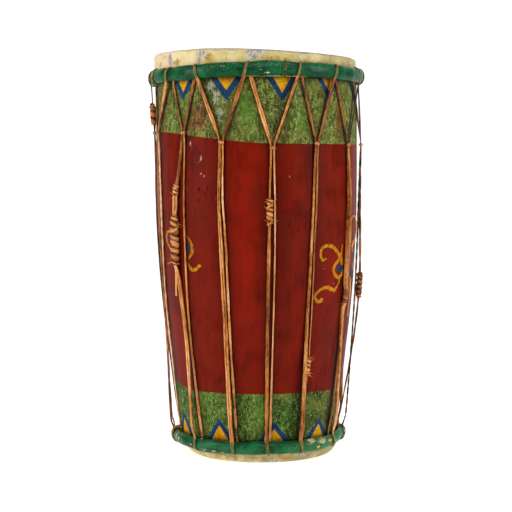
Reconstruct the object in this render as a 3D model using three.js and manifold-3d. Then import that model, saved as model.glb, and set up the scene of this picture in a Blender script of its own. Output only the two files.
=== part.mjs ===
// Two-headed ritual drum: a tapering wooden shell, a skin head at each end,
// two painted hoops and a zigzag lacing of leather thongs.
// Millimetres, +Z up, origin at the middle of the lower head's underside.
// Angles are in degrees around Z, 0 at the front (-Y), growing towards +X.
import * as THREE from 'three';
import * as BufferGeometryUtils from 'three/addons/utils/BufferGeometryUtils.js';
import Module from 'manifold-3d';

const wasm = await Module();
wasm.setup();

// Driving dimensions

const drumHeight = 600;
const drumLean = 0.0065; // sideways drift of the axis per unit of height
const aroundSteps = 36;
const touchGap = 0.35;

// outer radius and height of the shell between its two skin seats
const bodyOutline = [
  [117.8, 31], [124.4, 76], [133.2, 150], [142.6, 230],
  [148.4, 306], [151.4, 382], [151.9, 470], [151.8, 551],
];
const bodySteps = 9;
const wallThickness = 11;
const innerSteps = 3;

const skinThickness = 1.6;
const upperHead = { radius: 151.9, rimRound: 4.4, skirtEnd: 557 };
const lowerHead = { radius: 118.5, rimRound: 4.6, skirtEnd: 27 };
const seatRoom = { lower: 1.5, upper: 2 }; // the shell's shoulders stand off the ends of the skirts

const upperHoop = {
  centreZ: 570, halfHeight: 11, middle: 154.9, inward: 2.5, outward: 7.1, sides: 8, lacePass: 153.25,
};
const lowerHoop = {
  centreZ: 24.5, halfHeight: 8.5, middle: 124.5, inward: 5.5, outward: 7.5, sides: 8, lacePass: 119.9,
};

const thongWidth = 4.2;
const thongThickness = 2.2;
const thongOffHoop = 1.85; // middle of the thong above the hoop's surface
const thongOffBody = 1.75; // middle of the thong above the shell
const knotOffBody = 0.6; // underside of a knot above the shell
const armOffBody = 0.3; // further room for the thongs above the ties
const armLift = 0.8;
const grooveRoom = { across: 0.35, deep: 0.8 };
const pairRadius = 155; // middle of the thongs where a tie holds them
const bowedPairRadius = 158; // the same for the pair that bows away from the shell
const pairHalfGap = 0.97; // degrees from the tie's middle to each thong
const sidestep = 3.6; // degrees between a thong's front and back on a hoop
// back of a hoop: the height, as a share of the hoop's, where a thong is inside it,
// and how far it runs on beyond the hoop's edge
const hoopBack = { share: 0.55, beyond: 2.5 };

const tieBand = { height: 5, thickness: 1.1, room: 0.32, corner: 0.5 };
const tieReach = tieBand.height * 0.7; // thongs bend this far above and below a tie's middle

// Each pair: tie angle and height, loop angle on the upper hoop, then the pair's
// middle angle and its spread at three heights and at the lower hoop.
const strandHeights = [385, 312, 166];
const extraStops = [240, 90]; // further heights where the right-hand thong follows the shell
const seenPairs = [
  {
    tie: -71.5, tieZ: 481, loop: -55.3,
    middles: [-69.8, -71.1, -75.3, -79.4], spreads: [2.8, 3.9, 3.7, 4.2],
  },
  {
    tie: -43.4, tieZ: 482, loop: -35.5,
    middles: [-47.1, -48.6, -46.6, -45.1], spreads: [6.3, 8.3, 2.3, 2.4],
  },
  { tie: -19.1, tieZ: 468, loop: -6.3, middles: [-19.9, -18.7, -17.8, -16.3], spreads: [2.1, 2.9, 2.3, 2.2] },
  { tie: 8.4, tieZ: 460, loop: 21.7, middles: [8.2, 8, 7.1, 6.4], spreads: [2.9, 3.3, 3.4, 3.2] },
  { tie: 34.1, tieZ: 466, loop: 45, middles: [33.2, 32.1, 31.4, 29.4], spreads: [2, 2, 3.3, 2.4] },
  {
    tie: 60.7, tieZ: 465, loop: 73, crossing: -4.5,
    middles: [62.5, 62.3, 61.9, 59.4], spreads: [1.9, 2.5, 2.3, 2.3],
  },
  { tie: 88, tieZ: 466, loop: 100.5, middles: [87.4, 86.6, 82.5, 79], spreads: [3.4, 5, 6, 5], bow: 6 },
];
const lastPair = { tie: 268, tieZ: 484, loop: 279, middles: [268.5, 268.5, 267, 265], spreads: [3, 4, 4, 3] };
const hiddenPairs = 6;
const turnedLoop = 1; // here the thong climbs behind the hoop and comes down in front

// Splice knots: where each sits, its size, and its number of turns.
const knots = [
  { pair: 13, side: 'arm', top: 527, bottom: 497, halfWidth: 4.6, halfDepth: 4.4, turns: 3 },
  { pair: 1, side: 'left', top: 361, bottom: 289, halfWidth: 6.2, halfDepth: 3.9, turns: 7 },
  { pair: 3, side: 'left', top: 387, bottom: 351, halfWidth: 4.6, halfDepth: 3.8, turns: 4 },
  { pair: 4, side: 'right', top: 155, bottom: 130, halfWidth: 3.4, halfDepth: 3, turns: 3 },
  { pair: 5, side: 'left', top: 252, bottom: 232, halfWidth: 4.2, halfDepth: 3.6, turns: 2 },
  { pair: 6, side: 'right', top: 273, bottom: 234, halfWidth: 3.9, halfDepth: 3.6, turns: 4 },
  { pair: 8, side: 'left', top: 332, bottom: 302, halfWidth: 4.2, halfDepth: 3.6, turns: 3 },
  { pair: 10, side: 'right', top: 264, bottom: 236, halfWidth: 4, halfDepth: 3.4, turns: 3 },
];
// a second, smaller knot above the long coil, with the coil's loose end below it
const knotSides = 6;
const upperKnot = { pair: 1, side: 'left', top: 407, bottom: 391, halfWidth: 4.4, halfDepth: 3.4, turns: 2 };
const looseEnd = {
  angle: -54.3, turn: 1, top: 298, bend: 274, bottom: 247, width: 3.6, thickness: 1.6, offBody: 1.6,
};
// shape of a knot: its waists between the turns, how it slims to the ends, and the ends' shares of its length
const knotShape = { waist: 0.74, ends: 0.8, endLength: 0.01, tail: 0.25 };

// The pairs behind repeat at an even step between the last two seen at the sides.
// Each sways a little, in degrees, and its tie rises and falls a little, in millimetres.
const hiddenRowShape = {
  sway: 1.3, swayStep: 2.1, loopSway: 0.6, tieZ: 468, tieRise: 6, riseStep: 1.7,
  drifts: [[-0.5, 0], [-1, 0.5], [-3.4, 1], [-5, 1]],
  spreads: [2.6, 3.6, 3.2, 2.8],
};
function hiddenRow() {
  const row = hiddenRowShape;
  const first = seenPairs[seenPairs.length - 1];
  const step = (lastPair.tie - first.tie) / (hiddenPairs + 1);
  return Array.from({ length: hiddenPairs }, (_, i) => {
    const tie = first.tie + step * (i + 1);
    const sway = row.sway * Math.sin(i * row.swayStep);
    return {
      tie,
      tieZ: row.tieZ + row.tieRise * Math.sin(i * row.riseStep),
      loop: tie + step / 2 + sway * row.loopSway,
      middles: row.drifts.map(([drift, swayShare]) => tie + drift + sway * swayShare),
      spreads: row.spreads,
    };
  });
}

const pairs = seenPairs.concat(hiddenRow(), [lastPair]);

// Helpers

const radians = THREE.MathUtils.degToRad;
const mix = THREE.MathUtils.lerp;

function place(degrees, radius, z) {
  const angle = radians(degrees);
  return new THREE.Vector3(radius * Math.sin(angle), -radius * Math.cos(angle), z);
}

function bare(geometry) {
  const copy = geometry.clone();
  copy.deleteAttribute('normal');
  copy.deleteAttribute('uv');
  return BufferGeometryUtils.mergeVertices(copy, 1e-4);
}

function toSolid(geometry) {
  const merged = bare(geometry);
  return new wasm.Manifold(new wasm.Mesh({
    numProp: 3,
    vertProperties: new Float32Array(merged.attributes.position.array),
    triVerts: new Uint32Array(merged.index.array),
  }));
}

function toGeometry(solid) {
  const mesh = solid.getMesh();
  const geometry = new THREE.BufferGeometry();
  const points = new Float32Array(mesh.numVert * 3);
  for (let i = 0; i < mesh.numVert; i += 1) {
    for (let j = 0; j < 3; j += 1) {
      points[i * 3 + j] = mesh.vertProperties[i * mesh.numProp + j];
    }
  }
  geometry.setAttribute('position', new THREE.BufferAttribute(points, 3));
  geometry.setIndex(new THREE.BufferAttribute(new Uint32Array(mesh.triVerts), 1));
  return geometry;
}

// A closed section of [radius, height] points, counter-clockwise, turned around Z.
function turned(section) {
  const points = section.map(([radius, height]) => new THREE.Vector2(radius, height));
  return new THREE.LatheGeometry(points, aroundSteps).rotateX(Math.PI / 2);
}

// Shell

const bodyCurve = new THREE.SplineCurve(bodyOutline.map(([radius, z]) => new THREE.Vector2(radius, z)));
const bodyPoints = bodyCurve.getPoints(bodySteps);

function bodyRadius(z) {
  const above = bodyPoints.findIndex((point) => point.y >= z);
  if (above < 0) {
    return bodyPoints[bodySteps].x;
  }
  if (above === 0) {
    return bodyPoints[0].x;
  }
  const [low, high] = [bodyPoints[above - 1], bodyPoints[above]];
  return mix(low.x, high.x, (z - low.y) / (high.y - low.y));
}

function makeShell() {
  const bottom = skinThickness + touchGap;
  const top = drumHeight - skinThickness - touchGap;
  const lowerSeat = lowerHead.radius - skinThickness - touchGap;
  const upperSeat = upperHead.radius - skinThickness - touchGap;
  const section = [[lowerSeat, bottom], [lowerSeat, lowerHead.skirtEnd + seatRoom.lower]];
  bodyPoints.forEach((point) => section.push([point.x, point.y]));
  section.push([upperSeat, upperHead.skirtEnd - seatRoom.upper], [upperSeat, top]);
  for (let i = innerSteps; i >= 0; i -= 1) {
    const z = mix(bottom, top, i / innerSteps);
    section.push([Math.min(bodyRadius(z), upperSeat) - wallThickness, z]);
  }
  section.push(section[0]);
  return turned(section);
}

// Heads

// One skin cap: flat membrane, rounded rim, and a skirt. The outline runs from the axis
// along the outside when facing down, and the other way round when facing up.
function makeHead(head, facesUp) {
  const face = facesUp ? drumHeight : 0;
  const inward = facesUp ? -1 : 1;
  const roundFrom = head.radius - head.rimRound;
  const outside = [[0, face], [roundFrom, face]];
  outside.push([
    roundFrom + head.rimRound * Math.sin(radians(45)),
    face + inward * head.rimRound * (1 - Math.cos(radians(45))),
  ]);
  outside.push([head.radius, face + inward * head.rimRound]);
  outside.push([head.radius, head.skirtEnd]);
  const within = head.radius - skinThickness;
  const underside = face + inward * skinThickness;
  const section = [...outside, [within, head.skirtEnd], [within, underside], [0, underside]];
  return turned(facesUp ? section.reverse() : section);
}

// Hoops

// A rod of flattened round section, its inner side nearly flat against the skin.
function makeHoop(hoop) {
  const section = [];
  for (let i = 0; i <= hoop.sides; i += 1) {
    const turn = (i / hoop.sides) * 2 * Math.PI;
    const reach = Math.cos(turn) > 0 ? hoop.outward : hoop.inward;
    section.push([hoop.middle + reach * Math.cos(turn), hoop.centreZ + hoop.halfHeight * Math.sin(turn)]);
  }
  return turned(section);
}

// Thongs

// A strip along given stations. The flat side faces the drum's axis, or the hoop it passes.
class ThongPath extends THREE.Curve {
  constructor(stations) {
    super();
    this.stations = stations;
  }

  getSpacedPoints() {
    return this.stations;
  }

  computeFrenetFrames() {
    const frames = { tangents: [], normals: [], binormals: [] };
    const last = this.stations.length - 1;
    this.stations.forEach((point, i) => {
      const before = this.stations[Math.max(i - 1, 0)];
      const after = this.stations[Math.min(i + 1, last)];
      const arriving = point.clone().sub(before).normalize();
      const leaving = after.clone().sub(point).normalize();
      const tangent = arriving.add(leaving).normalize();
      const around = new THREE.Vector3(-point.y, point.x, 0).normalize();
      const across = around.addScaledVector(tangent, -around.dot(tangent)).normalize();
      frames.tangents.push(tangent);
      frames.normals.push(across);
      frames.binormals.push(tangent.clone().cross(across));
    });
    return frames;
  }
}

function rectangle(width, height) {
  const shape = new THREE.Shape();
  shape.moveTo(-width / 2, -height / 2);
  shape.lineTo(width / 2, -height / 2);
  shape.lineTo(width / 2, height / 2);
  shape.lineTo(-width / 2, height / 2);
  return shape;
}

function strip(stations, width, thickness) {
  const steps = stations.length - 1;
  return new THREE.ExtrudeGeometry(rectangle(width, thickness), {
    steps, bevelEnabled: false, extrudePath: new ThongPath(stations),
  });
}

// Stations of one turn around a hoop, from below its front, over it and down behind.
// `flip` of -1 turns the pass upside down, for the lower hoop.
const frontTurns = [-60, -20, 20, 60, 90];
function hoopPass(hoop, fromAngle, toAngle, flip) {
  const stations = frontTurns.map((turn) => [
    hoop.middle + (hoop.outward + thongOffHoop) * Math.cos(radians(turn)),
    (hoop.halfHeight + thongOffHoop) * Math.sin(radians(turn)),
  ]);
  stations.push([hoop.lacePass, hoop.halfHeight * hoopBack.share]);
  stations.push([hoop.lacePass, -hoop.halfHeight - hoopBack.beyond]);
  const last = stations.length - 1;
  return stations.map(([radius, rise], i) => {
    const angle = mix(fromAngle, toAngle, i / last);
    return place(angle, radius, hoop.centreZ + flip * rise);
  });
}

function topPass(index) {
  const { loop, crossing } = pairs[index];
  if (index === turnedLoop) {
    return hoopPass(upperHoop, loop + sidestep, loop, 1).reverse();
  }
  return hoopPass(upperHoop, loop, loop + (crossing || sidestep), 1);
}

function footAngles(pair) {
  const middle = pair.middles[3];
  const half = pair.spreads[3] / 2;
  return [middle - half, middle + half];
}

function footPass(index) {
  const [front, behind] = footAngles(pairs[index]);
  return hoopPass(lowerHoop, front, behind, -1);
}

function tieRadius(pair) {
  return pair.bow ? bowedPairRadius : pairRadius;
}

// One thong between the tie and the lower hoop, from the top down.
function strandDown(index, side) {
  const pair = pairs[index];
  const sign = side === 'left' ? -1 : 1;
  const frontRadius = lowerHoop.middle + lowerHoop.outward + thongOffHoop;
  const footRadius = side === 'left' ? frontRadius : lowerHoop.lacePass;
  const start = pair.tieZ - tieReach;
  const end = lowerHoop.centreZ + lowerHoop.halfHeight;
  const heights = [start, ...strandHeights, end];
  const angles = [pair.tie, ...pair.middles].map((middle, i) => {
    const half = i === 0 ? pairHalfGap : pair.spreads[i - 1] / 2;
    return middle + sign * half;
  });
  const angleAt = (z) => {
    let i = 1;
    while (z < heights[i] && i < heights.length - 1) {
      i += 1;
    }
    return mix(angles[i - 1], angles[i], (heights[i - 1] - z) / (heights[i - 1] - heights[i]));
  };
  const own = [...knots, upperKnot].filter((knot) => knot.pair === index && knot.side === side);
  const radiusAt = (z) => {
    const down = (start - z) / (start - end);
    const bowed = (pair.bow || 0) * Math.sin(Math.PI * down);
    const straight = mix(tieRadius(pair), footRadius, down) + bowed;
    const inKnot = own.find((knot) => z <= knot.top + 1 && z >= knot.bottom - 1);
    const clear = inKnot ? inKnot.halfDepth + knotOffBody : thongOffBody;
    return Math.max(straight, bodyRadius(z) + clear);
  };
  const stops = [start, ...strandHeights];
  if (side === 'right') {
    stops.push(...extraStops);
  }
  own.forEach((knot) => stops.push(knot.top, knot.bottom));
  const kept = [...new Set(stops)].sort((a, b) => b - a);
  return kept.map((z) => place(angleAt(z), radiusAt(z), z));
}

function midpoint(from, to, lift) {
  const point = from.clone().lerp(to, 0.5);
  const radius = Math.hypot(point.x, point.y);
  const scale = Math.max(radius + lift, bodyRadius(point.z) + thongOffBody + armOffBody) / radius;
  return new THREE.Vector3(point.x * scale, point.y * scale, point.z);
}

// The whole lacing in order, as stations. A knot stands between two of them as a marker.
function lacingRoute() {
  const route = [];
  pairs.forEach((pair, index) => {
    const before = (index + pairs.length - 1) % pairs.length;
    const radius = tieRadius(pair);
    const above = pair.tieZ + tieReach;
    const leftTie = place(pair.tie - pairHalfGap, radius, above);
    const rightTie = place(pair.tie + pairHalfGap, radius, above);
    const arrival = topPass(before).at(-1);
    const leaving = topPass(index)[0];
    route.push(midpoint(arrival, leftTie, armLift), leftTie);
    route.push(...withKnots(strandDown(index, 'left'), index, 'left'));
    route.push(...footPass(index));
    route.push(...withKnots(strandDown(index, 'right').reverse(), index, 'right'));
    route.push(rightTie, ...armUp(index, rightTie, leaving), ...topPass(index));
  });
  return route;
}

function withKnots(stations, index, side) {
  const knot = knots.find((one) => one.pair === index && one.side === side);
  if (!knot) {
    return stations;
  }
  const near = (z) => stations.findIndex((point) => Math.abs(point.z - z) < 1e-6);
  const [first, second] = [near(knot.top), near(knot.bottom)].sort((a, b) => a - b);
  return [
    ...stations.slice(0, first + 1), { knot, from: stations[first], to: stations[second] },
    ...stations.slice(second),
  ];
}

function armUp(index, from, to) {
  const knot = knots.find((one) => one.pair === index && one.side === 'arm');
  if (!knot) {
    return [midpoint(from, to, 0)];
  }
  const atHeight = (z) => from.clone().lerp(to, (z - from.z) / (to.z - from.z));
  const [low, high] = [atHeight(knot.bottom), atHeight(knot.top)];
  return [low, { knot, from: low, to: high }, high];
}

// A wound knot: a spindle with one swelling for each turn, flattened against the drum.
function makeKnot({ halfWidth, halfDepth, turns }, from, to) {
  const length = from.distanceTo(to);
  const swellings = [[0, 0]];
  const steps = turns * 2;
  for (let i = 0; i <= steps; i += 1) {
    const share = i / steps;
    const waist = i % 2 === 0 ? knotShape.waist : 1;
    const ends = mix(knotShape.ends, 1, Math.sin(Math.PI * share));
    swellings.push([waist * ends, length * mix(knotShape.endLength, 1 - knotShape.endLength, share)]);
  }
  swellings.push([0, length]);
  const points = swellings.map(([radius, height]) => new THREE.Vector2(radius, height));
  const spindle = new THREE.LatheGeometry(points, knotSides).scale(halfWidth, 1, halfDepth);
  const along = to.clone().sub(from).normalize();
  const outward = new THREE.Vector3(from.x, from.y, 0).normalize();
  const across = along.clone().cross(outward).normalize();
  const facing = across.clone().cross(along).normalize();
  const basis = new THREE.Matrix4().makeBasis(across, along, facing);
  return spindle.applyMatrix4(basis).translate(from.x, from.y, from.z);
}

function shortened(stations, gap) {
  const away = stations[1].clone().sub(stations[0]).setLength(gap);
  return [stations[0].clone().add(away), ...stations.slice(1)];
}

// The lengths of thong, each from one knot to the next, with that next knot made in it.
function makeThongs() {
  const route = lacingRoute();
  const marks = [];
  route.forEach((entry, i) => {
    if (entry.knot) {
      marks.push(i);
    }
  });
  return marks.map((mark, order) => {
    const next = marks[(order + 1) % marks.length];
    const between = next > mark
      ? route.slice(mark + 1, next)
      : [...route.slice(mark + 1), ...route.slice(0, next)];
    const { knot, from, to } = route[next];
    const inside = from.clone().lerp(to, knotShape.tail);
    const stations = shortened([...between, inside], touchGap);
    const solid = toSolid(strip(stations, thongWidth, thongThickness));
    return { solid: solid.add(toSolid(makeKnot(knot, from, to))), knot, from, to };
  });
}

function withExtras({ solid, knot, to }) {
  if (knot.pair !== upperKnot.pair) {
    return solid;
  }
  const stations = strandDown(upperKnot.pair, upperKnot.side);
  const at = (z) => stations.find((point) => Math.abs(point.z - z) < 1e-6);
  const small = makeKnot(upperKnot, at(upperKnot.top), at(upperKnot.bottom));
  const reach = (z) => bodyRadius(z) + looseEnd.offBody;
  const tail = [
    place(looseEnd.angle + looseEnd.turn, Math.hypot(to.x, to.y), looseEnd.top),
    place(looseEnd.angle, reach(looseEnd.bend), looseEnd.bend),
    place(looseEnd.angle, reach(looseEnd.bottom), looseEnd.bottom),
  ];
  return solid.add(toSolid(small)).add(toSolid(strip(tail, looseEnd.width, looseEnd.thickness)));
}

// Ties

// A flattened oval with six corners, wide sides front and back.
function oval(halfWidth, halfDepth, point) {
  const corners = [
    [halfWidth, -halfDepth], [halfWidth + point, 0], [halfWidth, halfDepth],
    [-halfWidth, halfDepth], [-halfWidth - point, 0], [-halfWidth, -halfDepth],
  ];
  return corners.map(([x, y]) => new THREE.Vector2(x, y));
}

function makeTie(pair) {
  const radius = tieRadius(pair);
  const apart = radius * radians(pairHalfGap);
  const insideWidth = apart + thongWidth / 2 + tieBand.room;
  const insideDepth = thongThickness / 2 + tieBand.room;
  const outsideWidth = insideWidth + tieBand.corner;
  const shape = new THREE.Shape(oval(outsideWidth, insideDepth + tieBand.thickness, tieBand.thickness));
  shape.holes.push(new THREE.Path(oval(insideWidth, insideDepth, tieBand.corner)));
  const band = new THREE.ExtrudeGeometry(shape, { depth: tieBand.height, bevelEnabled: false });
  band.translate(0, -radius, pair.tieZ - tieBand.height / 2);
  return band.rotateZ(radians(pair.tie));
}

// Assembly

function finish(color, roughness) {
  return new THREE.MeshStandardMaterial({ color, roughness, metalness: 0 });
}

const paintedWood = [0x7a1f16, 0.55];
const rawhide = [0xddcb9a, 0.7];
const hoopPaint = [0x0c6a3c, 0.35];
const thongLeather = [0xc08845, 0.6];
const tieFibre = [0x9a7a4c, 0.8];

const drum = new THREE.Group();
const leaning = new THREE.Matrix4().makeShear(0, 0, 0, 0, -drumLean, 0);

function addPiece(name, geometry, [color, roughness]) {
  const leaned = bare(geometry).applyMatrix4(leaning);
  leaned.computeVertexNormals();
  const mesh = new THREE.Mesh(leaned, finish(color, roughness));
  mesh.name = name;
  drum.add(mesh);
}

addPiece('shell', makeShell(), paintedWood);
addPiece('top_head', makeHead(upperHead, true), rawhide);
addPiece('bottom_head', makeHead(lowerHead, false), rawhide);

// Each hoop is pressed in a little where a thong passes behind it.
function grooved(hoop, pass) {
  const width = thongWidth + 2 * grooveRoom.across;
  const thickness = thongThickness + 2 * grooveRoom.deep;
  const cutters = pairs.map((_, index) => {
    const whole = pass(index);
    const climbs = pass === topPass && index === turnedLoop;
    const behind = climbs ? whole.slice(0, 3) : whole.slice(-3);
    return toSolid(strip(behind, width, thickness));
  });
  const cutter = cutters.reduce((all, one) => all.add(one));
  return toGeometry(toSolid(makeHoop(hoop)).subtract(cutter));
}

addPiece('top_hoop', grooved(upperHoop, topPass), hoopPaint);
addPiece('bottom_hoop', grooved(lowerHoop, footPass), hoopPaint);

makeThongs().forEach((thong, index) => {
  addPiece(`lace_${index + 1}`, toGeometry(withExtras(thong)), thongLeather);
});

pairs.forEach((pair, index) => {
  const number = String(index + 1).padStart(2, '0');
  addPiece(`lace_tie_${number}`, makeTie(pair), tieFibre);
});

export default drum;
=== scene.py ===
import functools
import math
import random

import bmesh
import bpy
import numpy as np
from mathutils import Matrix, Vector


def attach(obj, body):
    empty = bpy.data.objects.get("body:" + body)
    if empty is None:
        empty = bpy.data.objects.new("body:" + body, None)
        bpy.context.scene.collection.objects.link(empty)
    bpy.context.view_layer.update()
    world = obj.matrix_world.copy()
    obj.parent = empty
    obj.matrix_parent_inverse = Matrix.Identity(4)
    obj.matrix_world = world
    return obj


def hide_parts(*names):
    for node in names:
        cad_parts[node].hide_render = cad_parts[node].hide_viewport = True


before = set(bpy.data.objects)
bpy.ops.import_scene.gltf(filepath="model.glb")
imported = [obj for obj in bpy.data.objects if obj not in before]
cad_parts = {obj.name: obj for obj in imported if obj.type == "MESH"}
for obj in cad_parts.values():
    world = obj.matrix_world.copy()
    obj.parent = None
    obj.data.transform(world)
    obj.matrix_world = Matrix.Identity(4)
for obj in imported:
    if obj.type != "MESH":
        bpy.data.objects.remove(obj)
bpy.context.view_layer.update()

mm = 0.001
lean = 0.0065  # how far the drum's axis drifts sideways for each unit of height


# Camera

cameraPlace = {
    "x": -3.96, "distance": 2426, "height": 433, "pitch": 3.208, "focalPixels": 1594, "pictureSize": 512,
}


def makeCamera():
    bpy.ops.object.camera_add(
        location=(cameraPlace["x"] * mm, -cameraPlace["distance"] * mm, cameraPlace["height"] * mm),
        rotation=(math.radians(90 - cameraPlace["pitch"]), 0, 0),
    )
    camera = bpy.context.object
    camera.name = "studioCamera"
    camera.data.sensor_width = 36
    camera.data.lens = camera.data.sensor_width * cameraPlace["focalPixels"] / cameraPlace["pictureSize"]
    camera.data.clip_start = 0.05
    camera.data.clip_end = 50
    bpy.context.scene.camera = camera
    print("camera placed")


makeCamera()


# Shader wires

class Wire:  # a node socket that can stand in a sum
    def __init__(self, tree, socket=None):
        self.tree = tree
        self.socket = socket

    # any node: settings come first, then values or links for its sockets
    def node(self, kind, settings=None, sockets=None, out=0):
        made = self.tree.nodes.new("ShaderNode" + kind)
        for key, value in (settings or {}).items():
            if key == "stops":
                first, *middle, last = value
                made.color_ramp.elements[0].position, made.color_ramp.elements[0].color = first
                made.color_ramp.elements[1].position, made.color_ramp.elements[1].color = last
                for place, colour in middle:
                    made.color_ramp.elements.new(place).color = colour
            else:
                setattr(made, key, value)
        for key, value in (sockets or {}).items():
            if isinstance(value, Wire):
                self.tree.links.new(value.socket, made.inputs[key])
            else:
                made.inputs[key].default_value = value
        return Wire(self.tree, made.outputs[out] if made.outputs else None)

    def maths(self, operation, *values, clamp=False):
        return self.node("Math", {"operation": operation, "use_clamp": clamp}, dict(enumerate(values)))

    def __add__(self, other):
        return self.maths("ADD", self, other)

    def __radd__(self, other):
        return self.maths("ADD", other, self)

    def __sub__(self, other):
        return self.maths("SUBTRACT", self, other)

    def __rsub__(self, other):
        return self.maths("SUBTRACT", other, self)

    def __mul__(self, other):
        return self.maths("MULTIPLY", self, other)

    def __truediv__(self, other):
        return self.maths("DIVIDE", self, other)

    def smooth(self, low, high):  # 0 below low, 1 above high
        return self.node("MapRange", {"interpolation_type": "SMOOTHSTEP"},
                         {"Value": self, "From Min": low, "From Max": high})

    def mixed(self, blend, amount, first, second):
        settings = {"data_type": "RGBA", "blend_type": blend}
        return self.node("Mix", settings, {0: amount, 6: first, 7: second}, out=2)

    def over(self, first, second):  # this mask lays the second colour over the first
        return self.mixed("MIX", self, first, second)

    def tint(self, colour, amount):  # multiplies a colour wire by another colour
        return self.mixed("MULTIPLY", amount, self, colour)

    def scaled(self, x, y, z):
        return self.node("VectorMath", {"operation": "MULTIPLY"}, {0: self, 1: (x, y, z)})

    def grain(self, size, detail=3.0, rough=0.55):  # noise whose features are about this many millimetres
        sockets = {"Vector": self, "Scale": 1 / size, "Detail": detail, "Roughness": rough}
        return self.node("TexNoise", None, sockets)

    def attribute(self, name):
        return self.node("Attribute", {"attribute_name": name}, out=2)


def rgb(red, green, blue):  # a paint colour in 0 to 255 steps, as the shader wants it
    def linear(part):
        share = part / 255
        return share / 12.92 if share <= 0.04045 else ((share + 0.055) / 1.055) ** 2.4
    return linear(red), linear(green), linear(blue), 1.0


def newMaterial(name):
    material = bpy.data.materials.new(name)
    material.use_nodes = True
    material.node_tree.nodes.clear()
    return material, Wire(material.node_tree)


def closeMaterial(wire, fixed, colour, roughness, height, relief, coat=None):
    bump = wire.node("Bump", None, {"Strength": 1.0, "Distance": relief * mm, "Height": height})
    sockets = {"Base Color": colour, "Roughness": roughness, "Normal": bump}
    if coat is not None:
        sockets["Coat Weight"] = coat
    shader = wire.node("BsdfPrincipled", None, {**sockets, **fixed})
    wire.node("OutputMaterial", None, {"Surface": shader})


def drumPosition(wire):  # millimetres, with the lean taken out, and the height alone
    place = wire.node("TexCoord", out=3).scaled(1000, 1000, 1000)
    x = wire.node("SeparateXYZ", None, {0: place}, out=0)
    y = wire.node("SeparateXYZ", None, {0: place}, out=1)
    z = wire.node("SeparateXYZ", None, {0: place}, out=2)
    return place, x + z * lean, y, z


# Mesh helpers

def deselect():
    if bpy.context.mode != "OBJECT":
        bpy.ops.object.mode_set(mode="OBJECT")
    bpy.ops.object.select_all(action="DESELECT")


def select(obj):
    deselect()
    obj.select_set(True)
    bpy.context.view_layer.objects.active = obj


def addRing(sides, radius, z):
    deselect()
    bpy.ops.mesh.primitive_circle_add(vertices=sides, radius=radius * mm, location=(0, 0, z * mm))
    bpy.ops.object.transform_apply(location=True, rotation=True, scale=True)
    bpy.ops.object.mode_set(mode="EDIT")
    bpy.ops.mesh.select_mode(type="EDGE")
    bpy.ops.mesh.select_all(action="SELECT")
    return bpy.context.object


def drawUp(radius, z, nextRadius, nextZ):  # pulls the selected ring to its next size and height
    bpy.ops.mesh.extrude_region_move(TRANSFORM_OT_translate={"value": (0, 0, (nextZ - z) * mm)})
    share = nextRadius / radius
    bpy.ops.transform.resize(value=(share, share, 1), center_override=(0, 0, nextZ * mm))


def drawOutline(sides, outline):
    obj = addRing(sides, *outline[0])
    for here, after in zip(outline, outline[1:]):
        drawUp(*here, *after)
    return obj


def closeNormals():
    bpy.ops.mesh.select_all(action="SELECT")
    bpy.ops.mesh.remove_doubles(threshold=0.00001)
    bpy.ops.mesh.normals_make_consistent(inside=False)


def drumCoordinates(obj):  # angle, radius and height of each vertex, before the drum leans
    points = np.empty(len(obj.data.vertices) * 3)
    obj.data.vertices.foreach_get("co", points)
    x, y, z = points.reshape(-1, 3).T / mm
    return np.degrees(np.arctan2(x, -y)), np.hypot(x, y), z


def moveVertices(obj, angle, radius, z):
    turn = np.radians(angle)
    points = np.stack([radius * np.sin(turn), -radius * np.cos(turn), z], axis=1) * mm
    obj.data.vertices.foreach_set("co", points.ravel())
    obj.data.update()


def store(obj, name, values):
    layer = obj.data.attributes.new(name, "FLOAT", "POINT")
    layer.data.foreach_set("value", np.ascontiguousarray(values, dtype=np.float32))


def wrap(degrees):
    return (degrees + 180) % 360 - 180


def blots(angle, z, marks, perDegree):  # soft round marks: angle, height, half width, half height, strength
    field = np.zeros(len(z))
    for markAngle, markZ, halfWidth, halfHeight, strength in marks:
        away = ((wrap(angle - markAngle) * perDegree) / halfWidth) ** 2 + ((z - markZ) / halfHeight) ** 2
        field = np.maximum(field, strength * np.exp(-away * 1.2))
    return field


def swell(obj, size, strength, seed):  # uneven surface, pushed along the normals
    texture = bpy.data.textures.new(obj.name + "Unevenness", "CLOUDS")
    texture.noise_scale = size * mm
    texture.noise_depth = 2
    shift = bpy.data.objects.new("shift", None)
    bpy.context.collection.objects.link(shift)
    shift.location = (seed, seed * 0.7, seed * 0.3)
    bpy.context.view_layer.update()
    select(obj)
    modifier = obj.modifiers.new("unevenness", "DISPLACE")
    modifier.texture = texture
    modifier.texture_coords = "OBJECT"
    modifier.texture_coords_object = shift
    modifier.strength = strength * mm
    modifier.mid_level = 0.5
    bpy.ops.object.modifier_apply(modifier=modifier.name)
    bpy.data.objects.remove(shift)


def settle(obj, name, material, nodes=(), sharpAngle=40):  # the last step of every piece
    select(obj)
    bpy.ops.object.transform_apply(location=True, rotation=True, scale=True)
    shear = Matrix.Identity(4)
    shear[0][2] = -lean
    obj.data.transform(shear)
    bpy.ops.object.shade_smooth_by_angle(angle=math.radians(sharpAngle))
    obj.name = name
    obj.data.name = name
    obj.data.materials.clear()
    obj.data.materials.append(material)
    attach(obj, "root")
    if nodes:
        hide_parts(*nodes)
    print(name, "done,", len(obj.data.polygons), "faces")
    return obj


# Body

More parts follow.
